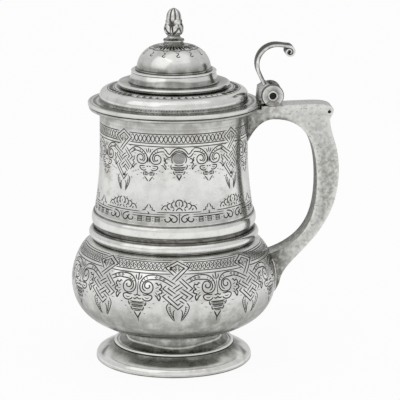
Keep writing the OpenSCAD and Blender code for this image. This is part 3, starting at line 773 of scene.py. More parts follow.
def leafTail(su, sv, v):        # one of the two leaves below the knot
    marks = [stroke(curveThrough([(4.4, -0.7), (6.2, 2.2), (5.9, 4.6), (4.6, 7.6), (1.75, 12.2)])),
             stroke(curveThrough([(1.2, 3.6), (2.5, 5.6), (2.4, 8.6), (1.7, 12.0)])),
             stroke(curveThrough([(4.3, 1.4), (4.1, 5.0), (2.2, 10.6)]), 0.24)]
    for i in range(6):
        marks.append(stroke([(5.8 - 0.35 * i, 3.2 + 1.15 * i), (4.3 - 0.28 * i, 2.6 + 1.2 * i)], 0.2, 0.5))
    return placedStrokes(marks, 0, v, su, sv)


def pen(width, *lines):
    return [stroke(curveThrough(line) if len(line) > 2 else line, width) for line in lines]


def hatch(u0, v0, u1, v1, count, rise, width=0.22):        # short parallel cuts along a line
    marks = []
    for i in range(count):
        t = i / (count - 1)
        u, v = u0 + (u1 - u0) * t, v0 + (v1 - v0) * t
        marks.append(stroke([(u, v), (u + rise[0], v + rise[1])], width, 0.35))
    return marks


def bowlMotif():        # half of scroll, crown, cup and drop, u from the pendant's axis
    marks = pen(0.38, [(10.8, 14.3), (9.2, 14.1), (7.6, 14.15), (5.4, 14.6), (3.4, 15.8), (1.9, 17.8),
                       (1.2, 20.2), (1.5, 22.6), (3.0, 24.4), (5.4, 25.0), (7.6, 24.3), (8.8, 22.4),
                       (8.7, 20.2), (7.4, 18.5), (5.6, 18.1), (4.2, 19.2), (4.1, 21.0), (5.3, 22.0),
                       (6.7, 21.5), (6.9, 20.3), (6.0, 19.9)],
                [(10.8, 17.0), (9.2, 16.8), (7.4, 16.9), (5.6, 17.2), (3.9, 18.2), (2.9, 19.8), (2.8, 21.6),
                 (3.8, 23.1), (5.3, 23.6)], [(0, 13.6), (0, 17.4)], [(0.2, 17.8), (1.6, 15.8), (1.7, 13.9)],
                [(2.4, 25.6), (4.4, 25.9), (6.4, 25.6), (8.2, 26.1), (8.4, 27.4), (7.2, 28.8), (5.2, 29.2),
                 (3.4, 28.4), (2.9, 27.2)], [(0, 25.6), (1.2, 26.4), (2.4, 25.6)],
                [(0, 27.6), (1.4, 28.3), (2.9, 27.6)], [(4.9, 29.2), (5.1, 30.6), (4.6, 31.8), (3.5, 32.2)],
                [(0, 30.2), (2.6, 30.1), (4.9, 29.6)], [(0, 32.1), (2.0, 32.1), (3.9, 31.9)],
                [(3.6, 32.2), (3.6, 33.6), (3.0, 34.8), (2.0, 35.3)], [(0, 34.5), (1.6, 34.5), (3.0, 34.2)])
    marks += pen(0.27, [(3.7, 26.9), (5.6, 27.7), (7.4, 26.9)], [(2.1, 17.6), (3.3, 18.8)],
                 [(3.2, 16.3), (4.2, 17.7)], [(4.7, 15.2), (5.4, 16.9)], [(0, 19.0), (0, 24.4)],
                 [(0, 33.3), (3.3, 33.0)], [(0, 40.7), (0, 41.7)])
    marks += [stroke([(2.4, 35.3), (0, 39.9)], 0.45), stroke([(2.2, 35.3), (0, 35.4)], 0.3)]
    marks += hatch(0, 30.5, 4.2, 30.3, 7, (-0.05, 1.3), 0.25) + hatch(0, 32.5, 3.0, 32.4, 5, (-0.05, 0.6))
    marks += pen(0.41, [(9.5, 25.4), (11.0, 26.4), (12.4, 28.6), (13.1, 26.6), (12.2, 25.0), (13.8, 24.4),
                        (13.9, 22.8), (12.5, 22.4), (13.7, 21.0), (13.1, 19.4), (11.7, 19.8), (10.9, 18.7),
                        (9.5, 19.3)])
    marks += pen(0.24, [(9.6, 23.6), (11.0, 24.8), (12.2, 27.0)], [(9.7, 22.7), (11.4, 23.3), (12.8, 23.5)],
                 [(9.7, 21.8), (11.2, 21.4), (12.5, 20.5)])
    return marks


def barrelMotif():        # the same on the barrel, slimmer
    marks = pen(0.34, [(9.8, 10.5), (8.6, 10.2), (6.4, 10.4), (4.2, 11.4), (2.2, 13.2), (1.0, 15.4),
                       (0.9, 17.4), (2.0, 19.2), (4.2, 19.8), (6.4, 19.2), (7.4, 17.4), (7.0, 15.4),
                       (5.4, 14.4), (3.9, 15.0), (3.4, 16.6), (4.2, 17.8), (5.4, 17.5), (5.5, 16.5)],
                [(9.8, 12.8), (8.6, 12.3), (6.6, 12.5), (4.6, 13.2), (2.9, 14.6), (2.3, 16.4), (2.9, 18.0),
                 (4.3, 18.6)], [(0, 10.0), (0, 13.2)], [(0.2, 13.8), (1.2, 12.2), (1.2, 10.4)],
                [(0.5, 14.8), (0.4, 17.6), (0.7, 19.6)], [(1.4, 20.6), (3.2, 20.9), (5.2, 21.1), (5.4, 22.1),
                                                          (4.2, 23.3), (2.4, 23.5), (1.3, 22.6)],
                [(0, 20.7), (0.8, 21.3), (1.4, 20.6)], [(3.0, 23.8), (3.3, 25.2), (2.9, 26.2), (2.2, 26.6)],
                [(0, 24.6), (1.6, 24.5), (3.1, 24.2)], [(0, 26.2), (1.6, 26.1), (2.9, 25.9)],
                [(2.9, 26.6), (1.4, 28.3), (0, 30.3)])
    marks += pen(0.3, [(6.9, 20.2), (8.4, 20.5), (9.2, 21.3), (10.0, 22.6), (10.3, 20.9), (9.3, 19.6),
                       (10.2, 18.6), (9.2, 17.5), (9.5, 16.2), (8.1, 15.6)])
    marks += pen(0.24, [(1.9, 21.7), (3.2, 22.3), (4.6, 22.0)], [(2.1, 13.5), (3.1, 14.3)],
                 [(3.4, 12.1), (4.2, 13.3)], [(5.0, 11.1), (5.5, 12.7)])
    marks += hatch(0, 24.8, 2.5, 24.6, 5, (-0.05, 1.1))
    return marks + dots((4.6, 25.2), (3.0, 28.2), (6.4, 23.6, 0.3), (8.6, 14.1, 0.3), (2.3, 11.2, 0.3),
                        (8.2, 24.2, 0.3))


def chainBand(span, v, rise, pitch, keep):        # two waves that cross, with a mark in every eye
    count = round(span / pitch)
    pitch = span / count
    marks = []
    for sign in (1, -1):
        wave = [(-span / 2 + span * i / (count * 8),
                 v + sign * rise * math.sin(math.pi * (i / 8 - count / 2))) for i in range(count * 8 + 1)]
        marks += [stroke(part, 0.27, 0) for part in partsWhere(wave, keep, 0.5)]
    for i in range(count):
        u = -span / 2 + pitch * (i + 0.5)
        if keep(u, v):
            marks.append(stroke([(u - 0.2, v + rise * 0.45), (u + 0.2, v - rise * 0.45)], 0.42, 0.8))
    return marks


def everywhere(u, v):
    return True


def ringLine(span, v, keep=everywhere, width=0.3):
    line = [(-span / 2, v), (0, v), (span / 2, v)]
    return [stroke(part, width, 0) for part in partsWhere(line, keep, 0.4)]


# bowl
bowlLook = dict(wall=1.2, chain=8.85, rise=1.9, pitch=2.6,
                copies=8, across=24, down=40, grid=2.6, reach=58.0, front=-91.8)
bowlKnot = dict(top=6.4, side=(5.5, 9.7), mid=15.0, low=(6.9, 21.7), axisLow=26.7, end=30.0, endU=4.7,
                axisMid=21.2, last=(6.9, 26.2), foot=32.6, half=0.95, archHalf=1.32, line=0.36,
                arch=[(-14.0, 15.4), (-12.4, 15.35), (-10.4, 15.6), (-8.2, 16.4), (-5.9, 17.6)])
bowlOuter = joined(bez((46.8, 74), (54.7, 72.9), (60.5, 59), (60.5, 49), 30),
                   bez((60.5, 49), (60.5, 20.66), (28.6, 20.05), (28.6, 18.2), 48))


def bowlStrokes(span):
    edge = span / 2

    def clearOfKnot(u, v):        # outside the diamond at the head of the knot
        return abs(u) / 7.2 + abs(v - 9.8) / 5.6 > 1

    marks = strapKnot(bowlKnot)
    marks += ringLine(span, 4.9, lambda u, v: abs(u) > 1.6, 0.24)
    for v in (6.2, 11.5, 13.3):
        marks += ringLine(span, v, clearOfKnot)
    marks += chainBand(span, bowlLook["chain"], bowlLook["rise"], bowlLook["pitch"], clearOfKnot)
    half = leafTail(1, 1, 29.8) + placedStrokes(bowlMotif(), edge, 0, -1)
    half += dots((4.6, 14.6), (7.6, 29.0), (edge - 9.4, 30.6), (edge - 7.0, 33.0), (edge - 4.0, 37.0, 0.28),
                 (9.6, 18.6, 0.3), (8.0, 24.0, 0.3))
    half += [stroke([(0.4, 12.2), (1.4, 10.6), (2.7, 10.3)], 0.28),
             stroke([(0.3, 11.4), (1.1, 9.2), (0.2, 8.4)], 0.28),
             stroke([(1.6, 11.9), (3.1, 11.4)], 0.24)]
    for u, v in ((12.4, 15.4), (10.0, 15.7), (7.8, 16.6)):        # lozenges along the arch strap
        half.append(stroke([(u - 0.7, v), (u, v - 0.6), (u + 0.7, v), (u, v + 0.6), (u - 0.7, v)], 0.2, 0))
    return marks + bothSides(half)


# painted shade down the bowl from its top: a shadow under the waist band, and a dark reflection of the foot
# on the lower bowl
def bowlShade(u, v):
    return np.interp(v, [0, 1.0, 2.4, 4.5, 6.2, 11.2, 11.8, 20, 26, 34, 42, 50, 55, 60, 74],
                     [0.9, 0.45, 0.26, 0.16, 0.20, 0.20, 0.0, 0.0, 0.05, 0.26, 0.54, 0.66, 0.45, 0.16, 0.3])


def makeBowl():
    p = np.array(bowlOuter[::-1])
    wall = bowlLook["wall"]
    inner = [(q[0] - wall * d[1], q[1] + wall * d[0]) for q, d in zip(p, headings(p))]
    inner = [q for q in inner if q[1] > 19.45][::2]
    rest = [(27.8, 18.2), (0.02, 18.2), (0.02, 19.4), (26.9, 19.4)] + inner
    rest += [(45.6, 74.3), (45.6, 81.55), (46.8, 81.55)]
    piece = engravedPiece("bowl_engraved", bowlOuter, bowlStrokes, bowlLook, rest, bowlShade)
    darken(piece, lambda r, z, x, y: np.where((z > 78) & (r > 46.4), 0.97, 0.0))        # painted shade between the bands
    dress(piece, "vessel", "silver_raised", "bowl")


makeBowl()


# barrel
barrelLook = dict(wall=1.2, topR=43.4, footR=46.8, straight=129.7, waist=90.7, flareR=225.4,
                  hang=16.7, chain=5.1, rise=1.95, pitch=2.6,        # hang: from knot to pendant
                  copies=4, across=40, down=26, grid=2.4, reach=44.0, front=-45)
barrelKnot = dict(top=1.9, side=(4.5, 5.4), mid=10.2, low=(5.1, 16.4), axisLow=21.4, end=24.8, endU=3.4,
                  axisMid=16.6, last=(5.1, 22.2), foot=28.9, half=0.78, archHalf=1.0, line=0.31,
                  arch=[(-8.6, 11.3), (-7.4, 11.7), (-6.2, 12.4), (-4.6, 13.6)])


def barrelR(z):        # straight above, then a wide arc out to the waist
    top, straight, flare = barrelLook["topR"], barrelLook["straight"], barrelLook["flareR"]
    if z >= straight:
        return top
    if z <= barrelLook["waist"]:
        return barrelLook["footR"]
    return top + flare - math.sqrt(flare ** 2 - (straight - z) ** 2)


def ovalMotif():        # hatched oval under a bracket strap, one half, u from the oval's axis
    marks = pen(0.34, [(0, 12.7), (2.0, 13.1), (3.6, 14.5), (4.2, 16.4), (4.0, 18.2), (3.2, 19.5)],
                [(0, 20.4), (1.7, 20.2), (3.2, 19.5)],
                [(0, 10.2), (2.2, 10.6), (4.0, 12.0), (5.4, 13.7), (6.6, 13.1), (7.6, 11.6), (9.26, 10.4)],
                [(0, 11.7), (1.9, 12.1), (3.7, 13.5), (5.2, 15.5), (6.8, 15.2), (8.0, 13.8), (9.26, 12.5)],
                [(4.2, 19.4), (4.8, 20.8), (4.2, 22.2), (3.2, 22.8)], [(0, 21.5), (2.4, 21.4), (4.6, 21.0)],
                [(0, 22.8), (1.8, 22.8), (3.6, 22.5)], [(3.2, 22.9), (3.3, 24.2), (2.6, 25.2), (1.6, 25.5)],
                [(0, 24.3), (1.6, 24.3), (3.0, 24.0)],
                [(5.6, 17.0), (7.0, 16.3), (8.0, 17.4), (7.4, 18.8), (6.0, 18.5)])
    marks += [stroke([(1.7, 25.5), (0, 28.5)], 0.42), stroke([(1.7, 25.5), (0, 25.6)], 0.3)]
    for i in range(9):        # level hatching
        v = 13.7 + 0.68 * i
        w = 3.7 * math.sqrt(max(0.04, 1 - ((v - 16.3) / 3.6) ** 2))
        marks.append(stroke([(0, v), (w, v)], 0.22, 0.3))
    marks += hatch(0, 21.8, 3.4, 21.6, 6, (-0.05, 0.8)) + hatch(0, 23.1, 2.5, 23.0, 5, (-0.05, 0.8))
    return marks + dots((5.9, 20.4), (6.4, 22.2), (4.6, 24.6), (3.0, 27.2))


def shellFan():        # palmette standing on the lower border, one half
    marks = pen(0.37, [(0, 40.1), (1.3, 40.6), (2.0, 42.0), (1.6, 43.4), (0.6, 44.7)],
                [(1.9, 41.1), (3.4, 41.2), (4.3, 42.6), (3.8, 44.1), (2.2, 45.4)],
                [(4.2, 42.3), (5.8, 42.2), (6.8, 43.4), (6.2, 45.0), (4.3, 46.1)],
                [(6.6, 43.5), (8.4, 43.6), (9.6, 45.0), (9.7, 46.6)], [(7.0, 46.7), (7.6, 45.4), (8.6, 45.7)],
                [(0, 44.7), (1.4, 45.7), (1.8, 46.9)], [(2.2, 45.4), (3.4, 46.0), (3.6, 46.9)])
    marks += pen(0.24, [(0, 41.5), (0, 43.4)], [(2.7, 42.6), (2.0, 44.3)], [(5.2, 43.4), (4.0, 45.1)])
    return marks + dots((3.2, 40.2, 0.3), (6.4, 41.5, 0.3), (9.6, 43.1, 0.3))


def fleuron():        # small trefoil on its step, one half
    marks = pen(0.33, [(0, 42.2), (0.9, 43.8), (1.2, 44.8), (0.5, 45.3)],
                [(1.3, 45.2), (1.9, 44.8), (2.1, 45.7), (1.2, 46.1)])
    return marks + [stroke([(1.3, 46.3), (3.3, 46.3), (3.5, 47.4)], 0.3),
                    stroke([(0, 47.8), (0, 48.5)], 0.42, 0.4)]


def footScroll():        # the border's strap curling up under a palmette, one half
    marks = pen(0.38, [(6.2, 48.6), (4.4, 48.7), (2.6, 49.2), (1.3, 50.5), (1.5, 52.1), (2.9, 52.9),
                       (4.2, 52.1), (4.1, 50.9), (3.1, 50.6)],
                [(6.2, 49.9), (5.2, 50.2), (4.8, 51.4), (5.6, 52.6), (7.2, 52.6), (8.0, 51.4), (7.0, 50.8)])
    return marks + pen(0.26, [(0, 48.0), (0, 52.6)], [(0.5, 48.4), (1.2, 49.2)]) + dots((9.4, 51.8, 0.3))


def squareMark(u, v, side=2.4):
    h = side / 2
    corners = [(u - h, v - h), (u + h, v - h), (u + h, v + h), (u - h, v + h), (u - h, v - h)]
    across = hatch(u - h * 0.55, v - h * 0.7, u + h * 0.55, v - h * 0.7, 3, (0, h * 1.4), 0.24)
    return [stroke(corners, 0.24, 0)] + across


def barrelStrokes(span):
    edge = span / 2
    hang = barrelLook["hang"]

    def clearOfKnot(u, v):
        return abs(u) / 6.0 + abs(v - 5.4) / 5.4 > 1

    marks = strapKnot(barrelKnot)
    for v in (2.4, 7.8, 9.5):
        marks += ringLine(span, v, clearOfKnot)
    marks += chainBand(span, barrelLook["chain"], barrelLook["rise"], barrelLook["pitch"], clearOfKnot)
    half = leafTail(0.72, 0.78, 27.6)
    half += placedStrokes(barrelMotif(), hang, 0, -1) + placedStrokes(barrelMotif(), hang)
    half += placedStrokes(ovalMotif(), edge, 0, -1)
    half += dots((4.8, 9.9), (6.8, 24.8), (5.6, 28.4), (9.6, 26.4, 0.3))
    half += [stroke([(0.3, 8.0), (1.2, 6.4), (2.2, 6.1)], 0.26),
             stroke([(0.3, 7.2), (1.0, 5.0), (0.2, 4.2)], 0.26)]
    half.append(stroke([(7.0, 11.9), (7.6, 11.2), (8.2, 11.5), (7.6, 12.2), (7.0, 11.9)], 0.22, 0))
    for v, w in ((47.4, 0.27), (48.6, 0.22), (49.9, 0.27)):
        marks += ringLine(span, v, lambda u, v: (min(abs(u), edge - abs(u)) > 6.1 or v < 48)
                          and (abs(abs(u) - edge / 2) > 3.5 or v > 48), w)
    half += shellFan() + placedStrokes(shellFan(), edge, 0, -1)
    for side in (-1, 1):
        half += placedStrokes(fleuron(), edge / 2, 0, side)
    half += footScroll() + placedStrokes(footScroll(), edge, 0, -1)
    for u in (-5.1, 0, 5.1):
        half += squareMark(edge / 2 + u, 51.6)
    for u in (-2.55, 2.55):
        half += dots((edge / 2 + u, 51.0, 0.3), (edge / 2 + u, 52.4, 0.3))
    return marks + bothSides(half)


# painted shade down the barrel from under the brim: darker under the lid and towards the waist band
def barrelShade(u, v):
    return np.interp(v, [0, 1.5, 2.4, 7.6, 8.2, 9.2, 10, 44, 46, 50, 54.4],
                     [0.50, 0.34, 0.22, 0.22, 0.04, 0.04, 0.06, 0.04, 0.06, 0.16, 0.30])


def makeBarrel():
    skin = [(barrelR(z), z) for z in np.linspace(146.0, 91.6, 70)]
    waist, straight = barrelLook["waist"], barrelLook["straight"]
    inner = [(barrelR(z) - barrelLook["wall"], z) for z in np.linspace(waist, straight, 14)]
    rest = [(46.8, 90.7), (46.8, 81.55), (45.6, 81.55)] + inner + [(42.2, 154.0)]
    rest += [(43.4, z) for z in (154.0, 151.2, 149.4, 147.6, 146.5)]
    piece = engravedPiece("barrel_engraved", skin, barrelStrokes, barrelLook, rest, barrelShade)

    def dark(r, z, x, y):        # painted shade between the bands and under the brim
        brim = np.interp(z, [146.0, 146.6, 149.4, 151.2, 154], [0, 0.42, 0.52, 0.85, 0.95])
        return np.where((z < 82) & (r > 46.4), 0.97, brim)

    darken(piece, dark)
    dress(piece, "vessel", "silver_raised", "barrel")


makeBarrel()


# waist bands, foot and wires
bandLook = {
    "lower_waist_band": dict(seat=46.8, z0=74.0, z1=80.8, edge=47.8, swell=50.1, low=0.5, high=0.5),
    "upper_waist_band": dict(seat=46.8, z0=82.3, z1=90.7, edge=47.2, swell=48.4, low=1.0, high=0.4),
}


def makeBands():
    for name, look in bandLook.items():
        z0, z1, edge, seat = look["z0"], look["z1"], look["edge"], look["seat"]
        mid = (z0 + z1) / 2
        swell = [(edge + (look["swell"] - edge) * math.cos(a), mid + (mid - z0 - 0.75) * math.sin(a))
                 for a in np.linspace(-math.pi / 2, math.pi / 2, 15)]
        fillet = 0.16
        loop = [(seat, z0), (edge + 0.15, z0, fillet), (edge + 0.3, z0 + 0.3, fillet),
                (edge, z0 + 0.68)] + swell
        loop += [(edge, z1 - 0.68), (edge + 0.3, z1 - 0.3, fillet), (edge + 0.15, z1, fillet), (seat, z1)]
        low, high = z0 + look["low"], z1 - look["high"]
        # painted shade along each band's edges, where it meets its neighbour and the wall
        shade = byHeight([z0, low, low + 1.1, high - 0.8, high, z1], [0.95, 0.75, 0.05, 0.03, 0.75, 0.95])
        turnedPiece(name + "_turned", softened(loop), turnSteps, shade, "vessel", "silver_wire", name)


footLook = dict(front=math.radians(-94))        # the painted reflections are placed from this side


def makeFoot():
    outer = joined(bez((46.2, 1.6), (46.2, 5.2), (43.2, 5.7), (40.4, 6.7), 12),
                   bez((40.4, 6.7), (38.2, 7.5), (36, 8.3), (36, 9.6), 8),
                   [(35.2, 9.6), (33.8, 9.6), (33.8, 10.5)],
                   bez((33.8, 10.5), (30.2, 11.2), (27.8, 13.6), (27.8, 17.6), 26), [(27.8, 18.2)])
    inner = joined([(26.6, 18.2), (26.6, 17.4)],
                   bez((26.6, 17.4), (26.6, 13.0), (29.4, 10.1), (32.6, 9.6), 10),
                   [(32.6, 8.5), (34.8, 8.4)], bez((34.8, 8.4), (34.8, 6.1), (44.9, 4.1), (44.9, 1.6), 12))
    piece = spunPiece("foot_raised", joined(outer, inner), turnSteps)
    c, s = math.cos(footLook["front"]), math.sin(footLook["front"])

    def cove(r, z, x, y):        # a painted reflection: the hollow under the bowl painted dark, crossed by a wavering bright line, and darkest where it meets the bowl
        front = (x * c + y * s) / np.maximum(r, 1)
        line = 14.9 - 1.5 * front + 0.4 * np.sin(5 * np.arctan2(y, x))
        out = np.interp(z - line, [-4, -0.6, -0.2, 0.15, 0.6, 2.0], [0.93, 0.92, 0.25, 0.0, 0.84, 0.76])
        return np.maximum(out, np.interp(z, [16.6, 17.6, 18.2], [0, 0.6, 0.98])) * (z > 10.9)

    def wedges(r, z, x, y):        # a painted dark reflection: a slanting streak at either end of the skirt
        turn = np.degrees(np.arctan2(x * c + y * s, np.abs(y * c - x * s)))
        streak = np.exp(-((turn - 12 - 2.4 * (r - 42)) / 4.5) ** 2)
        return 0.85 * streak * np.interp(r, [37.5, 39.0, 44.0, 45.4], [0, 1, 1, 0]) * (z > 3.5)

    # painted shade down the skirt, deepest just under the bead, and a faint dark line at its foot
    paintShadeAndTarnish(piece, byHeight([1.6, 2.0, 6.0, 6.5, 7.1, 7.7, 8.4, 9.6, 10.4, 11.0],
                            [0.30, 0.0, 0.0, 0.12, 0.42, 0.72, 0.90, 0.97, 0.85, 0.0]))
    darken(piece, cove)
    darken(piece, wedges)
    dress(piece, "vessel", "silver_raised", "foot")
    rim = [(43.8, 0.35, 0.3), (44.3, 0, 0.3), (45.5, 0, 0.5), (46.2, 0.75, 0.5), (46.2, 1.6, 0.1),
           (43.8, 1.6)]
    # painted shade along the rim's underside where it meets the floor, and at its top edge
    turnedPiece("foot_rim_turned", softened(rim), turnSteps,
                byHeight([0, 0.75, 1.0, 1.3, 1.6], [0.98, 0.95, 0.3, 0.05, 0.5]),
                "vessel", "silver_wire", "foot_rim_wire")
    bead = [(34.7 + 0.9 * math.cos(a), 10.32 + 0.9 * math.sin(a))
            for a in np.linspace(0, 2 * math.pi, 17)[:-1]]
    # painted shade under the bead
    turnedPiece("foot_bead_turned", bead, turnSteps, byHeight([9.4, 9.9, 10.4], [0.9, 0.3, 0.0]),
                "vessel", "silver_wire", "foot_bead_wire")


makeBands()
makeFoot()
keepNode("lip_wire", "silver_wire")
print("bands and foot turned")


# lid
lidLook = dict(copies=28, across=5, down=16, grid=1.25, reach=36.6, front=-90, edgeSteps=180)


def borderStrokes(span, end):        # leaf border on the sloping ring, radial cuts on the brim
    h = span / 2
    marks = ringLine(span, 0.5, width=0.2) + ringLine(span, 4.4, width=0.24)
    for i in range(2):        # bright-cut leaves leaning to and fro
        u = -h + span * (i + 0.5) / 2
        marks.append(stroke([(u - 1.5, 0.9), (u - 0.2, 2.6), (u + 0.2, 3.9)], 1.2, 1.4, 0.4))
        marks.append(stroke([(u + 1.6, 1.2), (u + 0.9, 2.6), (u + 0.9, 4.0)], 1.1, 1.3, 0.4))
    for i in range(6):
        u = -h + span * (i + 0.5) / 6
        marks.append(stroke([(u - 0.05, end - 3.9 + 0.6 * (i % 2)), (u + 0.1, end - 0.9)], 0.46, 0.7))
    return marks


def makeLid():
    # brim and rounded step, with a leaf border on the sloping ring inside the step
    skin = joined([(34.4, 163.9)], bez((38.8, 163.1), (42.6, 163.1), (44.4, 160.06), (43.1, 155.9), 30),
                  [(43.25, 155.72), (43.7, 155.57), (44.3, 155.5), (48.6, 155.5)])
    rest = joined([(48.6, 154.3), (42.2, 154.3)],
                  bez((41.9, 155.2), (43.0, 159.8), (41.4, 161.9), (38.6, 161.9), 12), [(34.3, 162.7)],
                  bez((34.3, 162.7), (31.8, 163.0), (30.5, 163.4), (30.5, 165.1), 8),
                  [(30.5, 165.8), (23.6, 165.8), (23.6, 167.0), (31.7, 167.0), (31.7, 165.1)],
                  bez((31.7, 165.1), (31.7, 164.4), (32.6, 164.1), (34.4, 163.9), 8)[1:-1])
    end = sum(math.dist(a, b) for a, b in zip(skin, skin[1:]))
    piece = engravedPiece("lid_flange_raised", skin, lambda span: borderStrokes(span, end), lidLook, rest)

    # painted shade and reflection on the flange: dark in the corners at the ledge, ring, step and brim, and
    # under the brim
    def dark(r, z, x, y):
        ledge = np.interp(r, [24, 26.6, 28, 31.7], [0.9, 0.75, 0.40, 0.45])
        wearAndSheen = np.clip((0.80 - np.abs(y) / np.maximum(r, 1)) / 0.2, 0, 1)        # painted reflection: the ring lighter at both sides, darker at front and back where it mirrors the bead
        ring = np.interp(r, [30.5, 33.0, 33.8, 38.0, 38.8], [0.98, 0.95, 0.86, 0.8, 0.3])
        ring = ring * (1 - 0.75 * wearAndSheen * (r > 33.4))
        step = np.interp(z, [155.9, 156.2, 156.9, 158.5, 160.5, 163.1], [0.97, 0.75, 0.24, 0.14, 0.0, 0.0])
        brim = np.interp(r, [43.3, 43.9, 44.6, 47.5, 48.6], [0.97, 0.7, 0.18, 0.10, 0.55])
        out = np.where(z > 165, ledge, np.where(r < 38.8, ring, np.where(z > 155.85, step, brim)))
        return np.where(z < 155.4, 0.5, out)

    paintShadeAndTarnish(piece, dark)
    # at front and back the cuts are left bare and bright against the painted dark ground
    brightCuts(piece, lambda r, z, x, y: (r < 38.9) & (z > 162.9) & (np.abs(y) > 0.7 * r))
    dress(piece, "lid", "silver_raised", "lid_flange")

    edge = softened([(48.6, 155.5), (49.8, 155.5, 0.2), (50.2, 155.1, 0.3), (50.2, 153.55, 0.25),
                     (49.95, 153.25, 0.1), (49.1, 153.1, 0.05), (49.1, 152.8, 0.05)])
    edge += [(48.725 + 0.875 * math.cos(a), 151.875 + 0.875 * math.sin(a))
             for a in np.linspace(1.1, -1.5, 11)]
    edge.append((48.6, 151.0))

    # painted shade on the underside and inner faces of the edge wire, and a dark line at its step
    def edgeDark(r, z, x, y):
        rows = np.interp(z, [151, 151.5, 152.6, 153.1, 153.5, 155.5], [0.9, 0.5, 0.35, 0.9, 0.30, 0.05])
        return np.where(r < 49.3, 0.7, 0.0) + rows

    turnedPiece("lid_edge_turned", edge, lidLook["edgeSteps"], edgeDark, "lid", "silver_wire",
                "lid_edge_wire")

    ring = [(31.9 + 0.9 * math.cos(a), 166.05 + 0.92 * math.sin(a)) for a in np.linspace(-1.3, 1.45, 9)]
    # painted shade on the underside of the bead ring
    turnedPiece("lid_bead_turned", [(31.7, 165.1), (32.0, 165.1)] + ring + [(31.7, 167.0)], turnSteps,
                byHeight([165.1, 165.7, 166.3, 167], [0.9, 0.35, 0.02, 0.1]),
                "lid", "silver_wire", "lid_bead_ring")

    wall = [(26.05 - 1.5 * (z - 167.75) / 4.85, z) for z in np.linspace(168.1, 172.2, 10)]
    drum = [(26.2, 167.0), (26.5, 167.0, 0.1), (26.5, 167.5, 0.15), (26.05, 167.75, 0.1)] + wall
    drum += [(24.55, 172.6, 0.3), (24.9, 173.0, 0.2), (24.9, 173.6, 0.25), (24.3, 174.0, 0.25), (21.6, 174.0),
             (20.4, 174.0), (20.4, 172.8), (23.1, 172.8), (25.0, 167.0)]

    # painted shade at the drum's foot and under its top rim; the lower drum darker below a wavering line
    def drumDark(r, z, x, y):
        a = np.arctan2(y, x)
        line = 170.6 + 0.5 * np.sin(3 * a + 0.4) + 0.3 * np.sin(7 * a + 1.0)        # where the grey stops
        low = np.clip((line - z) / 0.7, 0, 1) * 0.7
        rows = [167, 167.5, 168.0, 172.3, 172.7, 173.1, 174]
        return np.maximum(low, np.interp(z, rows, [0.98, 0.7, 0.1, 0.0, 0.8, 0.0, 0.15]))

    turnedPiece("lid_drum_raised", softened(drum), turnSteps, drumDark, "lid", "silver_raised", "lid_drum")


makeLid()


domeLook = dict(copies=13, across=14, down=16, grid=1.7, reach=15.5, front=-86)


def domeStrokes(span):
    h = span / 2
    marks = ringLine(span, 0.9, width=0.2)
    for i in range(3):        # radial cuts round the collar
        u = -h + span * (i + 0.5) / 3
        marks.append(stroke([(u, 0.5), (u + 0.4, 7.6 - 0.6 * (i % 2))], 1.0, 1.2, 0.4))
    half = [stroke(curveThrough([(0.0, 9.5), (h * 0.4, 8.3), (h * 0.75, 7.8), (h * 1.2, 7.9)]), 0.28, 0.2)]
    for i in range(4):
        u = h * (0.1 + 0.25 * i)
        half.append(stroke([(u, 7.4), (u + 0.1, 8.8 - 0.28 * i)], 0.26, 0.3))
    marks += bothSides(half)
    marks.append(stroke(curveThrough([(-1.0, 10.3), (-0.3, 9.9), (0.5, 10.3), (0.4, 11.1), (-0.4, 11.8),
                                      (-0.6, 12.6), (0.2, 13.1), (0.9, 12.6), (0.6, 12.0)]), 0.28))
    return marks


def makeDome():
    skin = joined(bez((6.4, 188.5), (16.9, 188.5), (21.6, 180.5), (21.6, 175.5), 40))
    rest = joined(softened([(21.6, 175.3), (22.0, 175.1, 0.2), (22.6, 174.9, 0.3), (22.6, 174.2, 0.2),
                            (22.2, 174.0, 0.1), (20.5, 174.0), (20.4, 175.4)]),
                  bez((20.4, 175.5), (20.4, 179.8), (16.4, 187.4), (6.4, 187.4), 16),
                  [(2.05, 187.4), (2.05, 188.5)])
    piece = engravedPiece("lid_dome_raised", skin, domeStrokes, domeLook, rest)

    # painted shade where the dome meets the collar and low on the dome above the drum
    def dark(r, z, x, y):
        top = np.interp(r, [5.9, 6.3, 6.9, 11.0, 13.0, 14.5], [0.98, 0.8, 0.12, 0.12, 0.3, 0.1])
        return np.maximum(top, np.interp(z, [174, 175.2, 176.2, 178.0, 179.6], [0.7, 0.97, 0.5, 0.42, 0.0]))

    paintShadeAndTarnish(piece, dark)
    dress(piece, "lid", "silver_raised", "lid_dome")

    collar = [(2.05, 188.4), (6.1, 188.4, 0.1), (6.1, 189.2, 0.2), (5.5, 189.5, 0.15), (5.45, 190.1, 0.15),
              (6.1, 190.5, 0.2), (6.1, 191.2, 0.1), (2.05, 191.2)]
    # painted shade at the collar's foot, in its groove and at its top edge
    shade = byHeight([188.4, 189.1, 189.6, 190.2, 190.6, 191.0, 191.2], [0.97, 0.75, 0.9, 0.5, 0.0, 0.0, 0.9])
    turnedPiece("finial_collar_turned", softened(collar), smallSteps, shade,
                "lid", "silver_cast", "finial_collar")


makeDome()
keepNode("lid_bezel", "silver_wire")
keepNode("finial_stud", "silver_oxidised")
keepNode("finial_nut", "silver_cast")


# finial: bud in two rings of leaves
budLook = dict(turn=0.29)        # where the first broad leaf stands, as a share of its spacing


